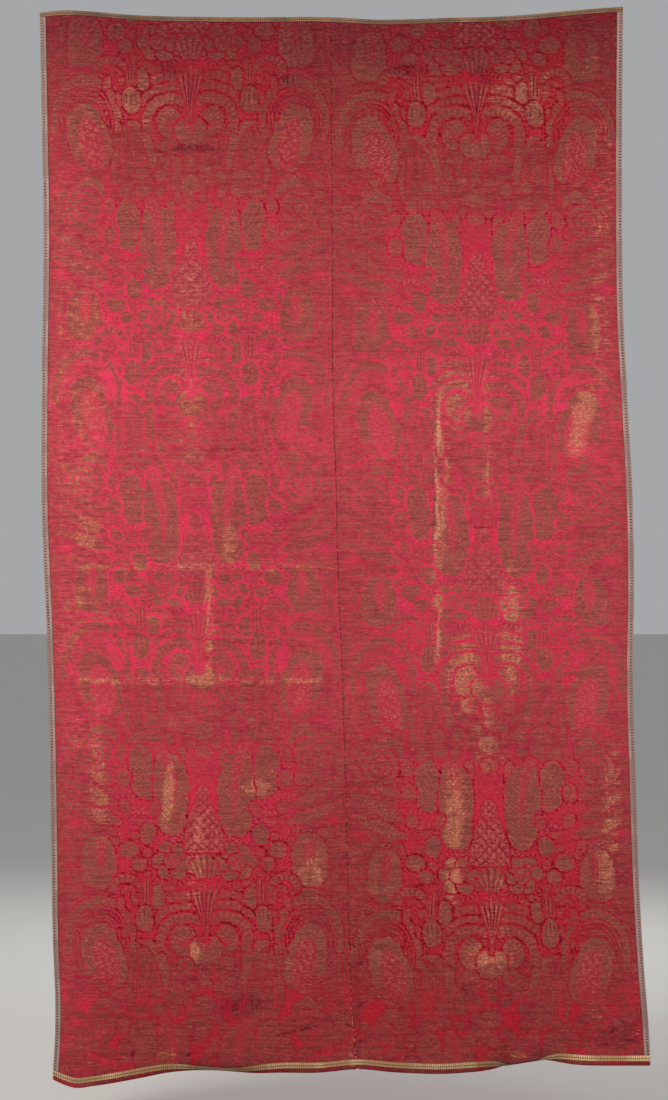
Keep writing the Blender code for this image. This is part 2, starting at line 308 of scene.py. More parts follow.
# What the drawing holds: distances from the edges of shapes, and strengths or phases inside them
DISTANCES = ("figure", "edge", "red")
STRENGTHS = ("tone", "bright", "fleck", "phase", "lines", "along", "across", "seeds", "zone")


class Drawing:
    """The repeat's fields at many places. x is counted from the loom width's middle, y down from a crown."""

    def __init__(self, x, y):
        self.x, self.y = x, y
        for name in DISTANCES:
            setattr(self, name, np.full_like(x, FAR))
        for name in STRENGTHS:
            setattr(self, name, np.zeros_like(x))

    def local(self, at, tilt=0):
        """How far each place lies from a point, across and down."""
        return rotated(self.x - at[0], wrap(self.y - at[1]), tilt)

    def turn_of(self, at, tilt=0):
        """The direction of each place from a point, in radians from straight up."""
        dx, dy = self.local(at, tilt)
        return np.arctan2(dx, -dy)

    def oval(self, at, size, tilt=0, square=2, taper=0, lobes=0, lobe=0):
        """How far each place lies outside an oval with these half sizes."""
        dx, dy = self.local(at, tilt)
        rx = size[0] * np.clip(1 - taper * dy / size[1], 0.25, 1.75)
        k = (np.abs(dx / rx) ** square + np.abs(dy / size[1]) ** square) ** (1 / square) + 1e-6
        away = np.hypot(dx, dy) + 1e-6
        shape = (k - 1) * np.minimum(away / k, 3 * min(size))
        if lobes:
            shape = shape - lobe * np.abs(np.cos(lobes / 2 * np.arctan2(dx, -dy))) + lobe / 2
        return shape

    def arc(self, at, radius, half, start, end):
        """How far each place lies outside an arc between two directions in degrees."""
        dx, dy = self.local(at)
        angle = np.degrees(np.arctan2(dx, -dy))
        middle, spread = (start + end) / 2, (end - start) / 2
        beyond = (np.abs((angle - middle + 180) % 360 - 180) - spread) * np.pi / 180 * radius
        return np.maximum(np.abs(np.hypot(dx, dy) - radius) - half, beyond)

    def band(self, *stops):
        """How far each place lies outside a curved band through stops of x, y and half width."""
        dx, dy = self.local(stops[0][:2])
        return to_band(dx, dy, [(x - stops[0][0], y - stops[0][1], half) for x, y, half in stops])

    def lay(self, shape, tone=0.8, gap=1.4, cover=True):
        """Lays a shape over what is there, with a gap round it."""
        if cover:
            outside = ease(0.5 + shape / 2)
            self.figure = np.maximum(self.figure, gap - shape)
            self.red = np.maximum(self.red, -shape)
            for name in ("lines", "fleck", "seeds"):
                setattr(self, name, getattr(self, name) * outside)
        self.figure = np.minimum(self.figure, shape)
        self.tone = np.where(shape < gap, tone, self.tone)
        self.edge = np.minimum(np.maximum(self.edge, -shape), np.abs(shape - gap / 2))

    def fringe(self, at, size, lean=0, reach=3.4):
        """Short strokes that stand all round a shape like an oval of this size."""
        rim = self.oval(at, size, lean)
        strokes = size[0] + size[1]
        weight = ease(1.4 - np.abs(rim - reach / 2) / (reach / 2))
        self.phase = np.where(weight > 0.05, self.turn_of(at, lean) * strokes / 8.4, self.phase)
        self.lines = np.maximum(self.lines * (weight < 0.05), weight * 1.3)

    def blush(self, shape):
        """Lets a shape show red instead of brown."""
        self.red = np.minimum(self.red, shape)

    def rule(self, shape, phase, strength=1, soft=1.5):
        """Fine lines inside a shape, one each time that phase passes a whole number."""
        weight = ease(-shape / soft) * strength
        self.phase = np.where(weight > self.lines, phase, self.phase)
        self.lines = np.maximum(self.lines, weight)

    def grain(self, shape, along, across, strength=1, soft=1.5):
        """Seeds inside a shape, one in each cell of two crossing phases."""
        weight = ease(-shape / soft) * strength
        self.along = np.where(weight > self.seeds, along, self.along)
        self.across = np.where(weight > self.seeds, across, self.across)
        self.seeds = np.maximum(self.seeds, weight)

    def speckle(self, shape, strength=1, soft=3):
        """Brown flecks inside a shape."""
        self.fleck = np.maximum(self.fleck, ease(-shape / soft) * strength)

    def glow(self, at, size, tilt=0, strength=1):
        """Bare satin ground, strongest in the middle of an oval."""
        dx, dy = self.local(at, tilt)
        self.bright = np.maximum(self.bright, strength * np.exp(-((dx / size[0]) ** 2 + (dy / size[1]) ** 2)))


def spot(row):
    """The place and the half sizes in a row of a table."""
    return (row.x, row.y), (row.wide, row.tall)


# Where the satin ground shows between the motifs
BRIGHT_GROUND = table(
    "x y wide tall lean much",
    (12, 22, 4.5, 15, -22, 1),
    (62, 26, 11, 3.5, -6, 0.9),
    (45, 62, 7, 4, -25, 1),
    (83, 57, 6, 3.5, 0, 0.7),
    (81, 89, 6.5, 7, 0, 1.1),
    (53, 76, 3.5, 10, 20, 0.9),
    (9, 106, 6, 8, 12, 1.1),
    (74, 131, 4, 6, 0, 0.8),
    (50, 163, 9, 3.5, -15, 0.8),
    (130, 46, 8, 5, 0, 0.8),
    (47, 200, 3.5, 20, -8, 0.5),
    (68, 205, 2.5, 22, 0, 0.6),
    (82, 232, 4, 30, 0, 0.45),
    (118, 214, 18, 6, 25, 0.5),
    (105, 115, 20, 2.5, 0, 0.7),
    (98, 185, 10, 22, 0, 0.35),
    (33, 182, 7, 4, 30, 0.6),
    (7, 196, 6, 4, 0, 0.7),
    (24, 237, 4, 8, 0, 0.6),
    (41, 252, 4, 12, 25, 0.6),
    (18, 272, 5, 4, 0, 1),
    (0, 12, 5, 4, 0, 0.9),
    (0, 165, 6, 5, 0, 0.8),
    (134, 95, 6, 30, 0, 0.25),
    (134, 185, 6, 30, 0, 0.25),
    (76, 12, 4, 8, 0, 0.4),
)
# Small leaves and petals with one tone, laid one over the other
PLAIN_MOTIFS = table(
    "x y wide tall lean tone",
    (51, 34, 5, 9, -30, 0.6),
    (66, 47, 6.5, 4, 0, 0.55),
    (70, 61, 5, 4, 20, 0.6),
    (92, 56, 5.5, 3.6, -30, 0.65),
    (88, 66, 3.6, 5, 0, 0.6),
    (71, 102, 5, 4.6, 30, 0.7),
    (36, 113, 7, 3.6, -10, 0.65),
    (71, 143, 3, 7, 10, 0.55),
    (122, 58, 7.5, 4.5, -20, 0.6),
    (131, 78, 4, 10, 0, 0.5),
    (131, 102, 4, 9, 10, 0.5),
    (81, 4, 8, 10, 0, 0.75),
    (79, 32, 6, 8, 25, 0.7),
    (82, -22, 6, 9, -10, 0.7),
    (57, 59, 8, 11, 0, 1),
    (75, 75, 10, 8.5, 0, 0.95),
    (57, 78, 4.5, 5, 0, 0.7),
    (65, 89, 7.5, 7, 0, 0.9),
    (57, 101, 4, 4.5, 0, 0.6),
    (45, 110, 9, 4, 15, 0.6),
    (46.5, 123, 7, 11.5, 0, 1),
    (69, 122, 4.4, 8, 12, 0.7),
    (84, 127, 4, 8.5, -12, 0.6),
)
# Blossoms and buds round the foot of the bouquet
SCATTERED_BLOOMS = table(
    "x y wide tall tone",
    (0, 229, 11, 9.5, 0.75),
    (31, 220, 5.5, 6.5, 0.8),
    (50, 218, 7, 6, 0.75),
    (32, 236, 4.5, 5.5, 0.7),
    (14, 212, 6, 5, 0.65),
    (48, 235, 7.5, 6, 0.7),
    (13, 243, 5, 5.5, 0.6),
    (0, 250, 9, 7, 0.65),
    (0, 207, 5.5, 5, 0.7),
    (66, 238, 6, 8, 0.65),
)
# Spreading leaves at the sides: root, bend, middle and tip
SPRAY_LEAVES = table(
    "x y half tone",
    ((84, 98, 116, 137), (48, 43, 37, 28), (2, 6.5, 5.5, 1.5), 0.8),
    ((88, 102, 119, 137), (30, 25, 14, 5), (2, 6, 5, 1.5), 0.7),
    ((88, 102, 118, 137), (8, 2, -9, -22), (2, 5.5, 5, 1.5), 0.7),
    ((90, 104, 121, 137), (-16, -23, -31, -38), (2, 4.5, 4, 1.5), 0.8),
)
# Beaded arches over the shell: radius, half width, both ends in degrees, beads all round
BEADED_ARCHES = table(
    "radius half start end beads tone",
    (46, 4.2, -18, 44, 22, 0.65),
    (36, 3.4, -34, 64, 18, 0.7),
    (24.5, 5, -42, 112, 13, 0.8),
)
# Fine lines behind the motifs, as rays and rings about a place
FEATHERED = table(
    "x y drop wide tall rays rings much",
    (104, 166, 0, 60, 60, 0, 0.23, 0.7),
    (100, 72, -58, 54, 62, 13, 0.03, 0.75),
    (108, 252, 0, 40, 34, 0, 0.24, 0.65),
    (48, 150, 60, 46, 46, 16, 0, 0.6),
    (0, 262, -24, 50, 36, 11, 0.02, 0.6),
    (60, 118, 0, 46, 34, 0, 0.24, 0.5),
)


def draw_sides(d):
    """The loose leaves, great arches, pods and scrolls at the sides of the loom width."""
    d.speckle(122 - d.x, 0.6, 12)
    for row in FEATHERED:
        at, size = spot(row)
        dx, dy = d.local(at)
        field = d.oval((row.x, row.y + row.drop), size)
        phase = d.turn_of(at) * row.rays + np.hypot(dx, dy) * row.rings
        d.rule(field, phase + 0.35 * np.sin(dy / 6) * np.sin(dx / 7), 0.6 * row.much, 5)
    for row in SPRAY_LEAVES:
        leaf = d.band(*zip(row.x, row.y, row.half))
        d.lay(leaf - 1.2 * np.abs(np.sin(d.x / 3.2)), row.tone)
        d.rule(leaf, (d.x - d.y * 0.5) / 4.4, 0.8)
    centre = (104, 166)
    dx, dy = d.local(centre)
    away = np.hypot(dx * 1.3, dy)
    outer = np.maximum(np.abs(away - 42) - 4.5, dy - 12)
    d.lay(outer, 0.85)
    d.rule(outer, d.turn_of(centre) * 9, 0.7)
    for radius, half in ((34.5, 1.6), (30, 1.2), (25.5, 1.4)):
        d.lay(np.maximum(np.abs(away - radius) - half, dy - 6), 0.7, 0.9, cover=False)
    d.lay(np.maximum(np.abs(away - 50) - 1.6, dy - 20), 0.7, 0.9, cover=False)
    pod = d.oval((101, 182), (19, 35), 14, 2.4, -0.1)
    dx, dy = d.local((101, 182), 14)
    hollow = d.oval((98, 187), (11, 26), 14, 2.2)
    pod = pod - 2.2 * np.abs(np.sin(dy / 4.6)) * ease((np.abs(dx) - 4) / 8)
    d.lay(pod, 1)
    d.blush(hollow)
    d.grain(hollow, dx / 8.6 + dy / 9.4, dx / 8.6 - dy / 9.4, 1)
    d.rule(np.maximum(pod + 2, -hollow), dy / 4.4 + dx / 9, 0.6, 2)
    crescent = d.band((86, 243, 1.5), (91, 230, 4.5), (101, 226, 6), (114, 236, 4), (122, 250, 1.5))
    d.lay(crescent, 0.95)
    d.rule(crescent, (d.x + d.y * 0.6) / 4.2, 0.5)
    for step in (0, 7):
        arch = d.band((90 + step * 0.4, 214 - step, 0.8), (110, 208 - step, 1.4),
                      (128 + step * 0.6, 216 - step, 1.4), (137 + step * 0.3, 240, 0.8))
        d.lay(arch, 0.6, 0.9, cover=False)
    ring = d.arc((108, 252), 15, 2.8, -170, 150)
    d.lay(ring, 0.7)
    d.lay(d.arc((108, 252), 8.5, 2.4, -150, 170), 0.75)
    d.speckle(d.oval((112, 262), (18, 14)), 0.8)
    d.lay(d.band((73, 192, 1.5), (76, 214, 3), (74, 234, 1.5)), 0.75)


def draw_foot(d):
    """The mottled arch beside the shell, the roses and the blossoms below them."""
    d.speckle(d.oval((58, 206), (17, 36)), 1, 5)
    d.lay(d.band((68, 166, 1.5), (55, 169, 4), (44, 182, 5), (39, 204, 4), (39, 214, 1.5)), 0.85)
    d.lay(d.band((62, 178, 1), (57, 192, 2.5), (56, 218, 1)), 0.7, 1)
    d.rule(d.oval((60, 206), (15, 28)), d.x / 3.3, 0.6, 4)
    for row in SCATTERED_BLOOMS:
        bloom = d.oval(*spot(row), lobes=6, lobe=1.2)
        d.lay(bloom, row.tone)
        d.speckle(bloom, 0.6)
    d.lay(d.band((20, 249, 4.5), (21, 259, 6), (18, 268, 2)), 0.85)
    for at, r in (((0, 195), 7), ((20, 189), 8.5)):
        d.lay(d.oval(at, (r, r), lobes=6, lobe=1.2), 0.65)
        dx, dy = d.local(at)
        d.rule(d.oval(at, (r * 0.9, r * 0.9)), np.hypot(dx, dy) / 3.6, 0.9)
        d.blush(d.oval(at, (r * 0.35, r * 0.35)))


def draw_base(d):
    """The shell between two fanned lobes, with beaded arches over them."""
    at = (19, 166)
    dx, dy = d.local(at)
    turn = np.arctan2(dx, -dy)
    for row in BEADED_ARCHES:
        beads = np.abs(np.cos(turn * row.beads / 2))
        shape = d.arc(at, row.radius, row.half, row.start, row.end) - 1.5 * beads + 0.7
        d.lay(shape, row.tone)
        d.rule(shape, turn * row.beads / np.pi * 1.05, 0.45 + 0.5 * ease((dx - 16) / 16))
    d.fringe((21, 165), (12.5, 15.5))
    lobe = d.oval((21, 165), (12.5, 15.5))
    d.lay(lobe, 0.85)
    d.rule(lobe, d.turn_of((8, 172)) * 5, 0.5, 2)
    d.blush(d.oval((21, 168), (4.5, 3.6), -20))
    shell = d.oval((0, 175), (15.5, 14), 0, 2.3, 0.1, 10, 1.6)
    d.lay(shell, 0.95, 2.4)
    d.rule(shell, d.turn_of((0, 156)) * 3.6 + 0.5, 0.4, 2)
    d.blush(d.oval((0, 166), (6.5, 7.5), lobes=10, lobe=3))


def draw_bouquet(d):
    """The palm fan, flowers, goblet and cone of scales that stand on the shell."""
    dx, dy = d.local((0, 166))
    away = np.hypot(dx, dy)
    spread = 2 + 13.5 * ease(-dy / 62) ** 1.3
    spikes = np.abs(np.sin(dx / spread * 8.2))
    fan = np.maximum(np.abs(dx) - spread, away - 60 + 11 * spikes * ease(-dy / 50))
    fan = np.maximum(fan, dy)
    d.lay(fan, 0.55, 1.2)
    d.rule(fan, dx / spread * 2.6 + 0.5, 1.5, 0.8)
    d.blush(np.maximum(np.abs(dx) - 4, np.abs(dy + 24) - 26))
    at = (32, 87)
    d.fringe(at, (22, 21), 0, 5)
    for degrees in (30, 90, 150, 210, 270, 330):
        across, up = 12.5 * np.sin(np.radians(degrees)), 12 * np.cos(np.radians(degrees))
        d.lay(d.oval((at[0] + across, at[1] - up), (8.8, 8.6)), 1, 0.9)
    d.lay(d.oval(at, (9, 8.5)), 1, 0.4)
    d.blush(d.oval(at, (5, 4.5), lobes=8, lobe=4))
    goblet = d.oval((0, 89), (13, 14), 0, 2.2, -0.45, 9, 3)
    d.lay(goblet, 0.8)
    d.rule(goblet, d.turn_of((0, 122)) * 6 + 0.5, 0.9, 1.5)
    d.glow((0, 101), (7, 4), 0, 0.6)
    dx, dy = d.local((0, 46))
    cone = np.maximum(np.abs(dx) - (3 + 16.5 * ease((dy + 36) / 56)), np.abs(dy) - 30)
    cone = cone - 1.4 * np.abs(np.sin(dy / 2.9))
    d.lay(cone, 0.55, 1.8)
    d.grain(cone, dx / 9 + dy / 10, dx / 9 - dy / 10, 1)
    skirt = np.maximum(d.oval((22, 64), (16, 7), 12), 1 - cone)
    d.grain(skirt, (d.x + 1.2 * dy) / 6, (d.x * 0.9 - dy) / 6, 0.8)
    d.fringe((33, 46), (14.5, 14), 0, 5)
    d.fringe((60, 5), (14, 17), 0, 5)
    round_leaf = np.minimum(d.oval((63, -12), (11.5, 17)), d.oval((59, 6), (14, 17)))
    d.lay(round_leaf - 1.6 * np.abs(np.sin(d.y / 3.4)), 1)
    d.rule(round_leaf + 2, d.turn_of((48, 14)) * 5.5, 0.5, 2)
    leaf = np.minimum(d.oval((33, 18), (17.5, 40), 0, 2.4), d.oval((33, 46), (14.5, 14)))
    leaf = np.minimum(leaf, d.band((41, -26, 5), (36, -10, 12), (33, 8, 15)))
    d.lay(leaf - 1.6 * np.abs(np.sin(d.y / 3.6)), 1)
    dx, dy = d.local((31, 18))
    vein = d.band((42, -30, 4), (35, -12, 4.4), (31, 10, 3.6), (31, 44, 0.2))
    d.blush(vein)
    d.rule(np.maximum(leaf + 2.5, 2 - np.abs(dx)), (dy + np.abs(dx) ** 1.25 * 0.55) / 5, 0.6, 3)
    d.lay(d.oval((0, 20), (8, 10.5)), 0.5)
    d.grain(d.oval((0, 20), (7.5, 10)), d.x / 6.2 + d.y / 7, d.x / 6.2 - d.y / 7, 0.9)
    d.glow((17, -1), (3, 5), -38, 1)


def draw_beside(d):
    """The acorns, small leaves, sprays and striped drops beside the bouquet."""
    d.grain(d.oval((63, 42), (15, 7)), d.x / 4.6, d.y / 16 + 0.25, 1)
    d.grain(d.oval((96, 60), (15, 8), -10), (d.x + d.y * 0.5) / 5.4, (d.x * 0.6 - d.y) / 5.4, 1)
    for row in PLAIN_MOTIFS:
        if row.tone > 0.66:
            d.fringe(*spot(row), row.lean)
        d.lay(d.oval(*spot(row), row.lean, 2.1), row.tone)
    d.blush(d.oval((57, 78), (2.2, 2.6)))
    flame = d.oval((81, 90), (6.5, 8), 0, 2, 0.3)
    d.rule(flame, d.turn_of((81, 108)) * 7, 1.2, 1)
    d.fringe((106, 86), (17, 25), 0, 5)
    acorn = d.oval((106, 86), (17, 25), 0, 2.9, -0.12)
    d.lay(acorn - 1.2 * np.abs(np.sin(d.y / 3.2)), 0.95)
    d.blush(d.band((104, 68, 3.5), (105, 82, 5.2), (104, 95, 0.5)))
    d.rule(np.maximum(acorn + 1.5, np.abs(d.x - 105) - 9), d.x / 4.4, 0.5, 3)
    d.rule(np.maximum(d.oval((106, 110), (14, 5)), -1), d.turn_of((106, 70)) * 12, 0.9, 2)
    arch = d.arc((80, 115), 13, 4.2, -100, 95)
    d.lay(arch, 0.75)
    d.rule(arch, d.turn_of((80, 115)) * 2.6, 0.8)
    d.lay(d.arc((76, 118), 5.5, 2.4, -100, 95), 0.6)
    stem = d.band((56, 106, 3.5), (58, 116, 5.5), (59, 128, 6), (59, 134, 5))
    d.lay(stem, 0.45, 1)
    d.rule(stem, d.x / 3.4, 1.3, 1)
    d.fringe((59, 144), (9.2, 13.5))
    drop = d.oval((59, 144), (9.2, 13.5), 0, 2.3, -0.05)
    d.lay(drop, 1)
    d.rule(np.maximum(drop + 2, wrap(d.y - 148)), np.abs(d.x - 59) / 4.6, 1, 1.5)


def draw(x, y):
    """The whole repeat, from what lies behind to what lies in front."""
    d = Drawing(x, y)
    for row in BRIGHT_GROUND:
        d.glow(*spot(row), row.lean, row.much)
    for part in (draw_sides, draw_foot, draw_base, draw_bouquet, draw_beside):
        part(d)
    d.zone = ease((102 - x) / 16) * ease((109 - np.abs(wrap(y - 71))) / 16)
    return d


class Value:
    """A number in a material's nodes that sums and products can be written with."""

    def __init__(self, shader, socket):
        self.shader, self.socket = shader, socket

    def __add__(self, other):
        return self.shader.math("ADD", self, other)

    def __sub__(self, other):
        return self.shader.math("SUBTRACT", self, other)

    def __rsub__(self, other):
        return self.shader.math("SUBTRACT", other, self)

    def __mul__(self, other):
        return self.shader.math("MULTIPLY", self, other)

    def __truediv__(self, other):
        return self.shader.math("DIVIDE", self, other)

    def __abs__(self):
        return self.shader.math("ABSOLUTE", self)


class Shader:
    """A short way to write a material's nodes."""

    def __init__(self, name):
        self.made = bpy.data.materials.new(name)
        self.made.use_nodes = True
        self.nodes, self.links = self.made.node_tree.nodes, self.made.node_tree.links
        self.nodes.clear()

    def put(self, socket, value):
        """Joins a value to a socket, or sets it there where it is plain."""
        value = getattr(value, "socket", value)
        if hasattr(value, "is_output"):
            self.links.new(value, socket)
        else:
            socket.default_value = value

    def node(self, kind, inputs=(), **settings):
        """A new node with its settings and what goes into it."""
        made = self.nodes.new(kind)
        for key, value in settings.items():
            setattr(made, key, value)
        for key, value in dict(inputs).items():
            self.put(made.inputs[key], value)
        return made

    def number(self, name):
        return Value(self, self.node("ShaderNodeAttribute", attribute_name=name).outputs["Fac"])

    def cloth(self):
        return self.node("ShaderNodeAttribute", attribute_name="cloth").outputs["Vector"]

    def math(self, operation, a, b=0, clamp=False):
        made = self.node("ShaderNodeMath", {0: a, 1: b}, operation=operation, use_clamp=clamp)
        return Value(self, made.outputs[0])

    def most(self, a, b):
        return self.math("MAXIMUM", a, b)

    def wave(self, value):
        """Up from 0 to a half and down again, once each time that value passes a whole number."""
        return self.math("PINGPONG", value, 0.5)

    def fade(self, value, low, high, to_low=0, to_high=1):
        """Smoothly from to_low where value is low to to_high where it is high."""
        limits = {"From Min": low, "From Max": high, "To Min": to_low, "To Max": to_high}
        made = self.node("ShaderNodeMapRange", {"Value": value, **limits}, interpolation_type="SMOOTHSTEP")
        return Value(self, made.outputs["Result"])

    def noise(self, coords, across, down, detail=2, rough=0.5, shift=0):
        """Noise between about 0 and 1, with grains of about this size across and down."""
        places = {"Scale": (1 / across, 1 / down, 1), "Location": (shift, shift * 0.7, 0)}
        moved = self.node("ShaderNodeMapping", {"Vector": coords, **places}).outputs[0]
        settings = {"Vector": moved, "Scale": 1, "Detail": detail, "Roughness": rough}
        made = self.node("ShaderNodeTexNoise", settings, noise_dimensions="2D")
        return Value(self, made.outputs["Fac"])

    def leafy_cells(self, coords):
        """How far each place is from its cell's middle. The cells are bent and as large as small leaves."""
        bent = self.node("ShaderNodeTexNoise", {"Vector": coords, "Scale": 0.05, "Detail": 2},
                         noise_dimensions="2D").outputs["Color"]
        pushed = self.scaled(bent, 22)
        moved = self.node("ShaderNodeVectorMath", {0: coords, 1: pushed}, operation="ADD").outputs[0]
        places = self.node("ShaderNodeMapping", {"Vector": moved, "Scale": (0.085, 0.062, 0.1)}).outputs[0]
        cells = self.node("ShaderNodeTexVoronoi", {"Vector": places, "Scale": 1}, voronoi_dimensions="2D")
        return Value(self, cells.outputs["Distance"])

    def mix(self, factor, a, b):
        """From one colour to another as the factor goes from 0 to 1."""
        made = self.node("ShaderNodeMix", data_type="RGBA")
        for key, value in ((0, factor), (6, a), (7, b)):
            self.put(made.inputs[key], colour(value) if isinstance(value, tuple) else value)
        return made.outputs[2]

    def scaled(self, vector, scale):
        made = self.node("ShaderNodeVectorMath", {0: vector, "Scale": scale}, operation="SCALE")
        return made.outputs[0]

    def shaded(self, base):
        """A colour dimmed or brightened along the cloth by painted light and shade."""
        return self.scaled(base, self.number("shade"))

    def finish(self, base, rough, specular, height=None, strength=0, more=()):
        """The surface that the nodes lead to, with its relief where it has one."""
        inputs = {"Base Color": base, "Roughness": rough, "Specular IOR Level": specular, **dict(more)}
        if height is not None:
            relief = {"Height": height, "Strength": strength, "Distance": RELIEF}
            inputs["Normal"] = self.node("ShaderNodeBump", relief).outputs[0]
        shader = self.node("ShaderNodeBsdfPrincipled", inputs)
        self.links.new(shader.outputs[0], self.node("ShaderNodeOutputMaterial").inputs[0])
        return self.made


def colour(rgb):
    """Linear colour of an sRGB triple from 0 to 255."""
    linear = [(c / 255 / 12.92) if c <= 10 else ((c / 255 + 0.055) / 1.055) ** 2.4 for c in rgb]
    return (*linear, 1)


# Colours of the silk where little light falls on it and where it is lit, from 0 to 255
GROUND = {"dim": (152, 34, 46), "dim_deep": (118, 24, 34), "lit": (196, 56, 76), "lit_deep": (164, 46, 62)}
FIGURE = {"dim": (145, 75, 63), "dim_deep": (120, 54, 48), "lit": (169, 83, 75), "lit_deep": (141, 64, 60)}
SATIN = {"dim": (186, 20, 42), "lit": (252, 56, 100)}
RULED = {"dim": (98, 10, 24), "lit": (200, 42, 70)}
SEED = {"dim": (192, 94, 94), "lit": (222, 112, 120)}
ROSE = {"dim": (158, 36, 50), "lit": (214, 56, 82)}
DARK = (88, 6, 18)
# The golds colour the gold thread and also painted glints; the last three are a painted ridge highlight,
# painted shade and thin painted shade
GOLD = (190, 115, 85)
GOLD_PALE = (219, 150, 117)
RIDGE_HIGHLIGHT = (228, 164, 138)
PAINTED_SHADE = (112, 20, 34)
THIN_SHADOW_COLOUR = (74, 8, 20)


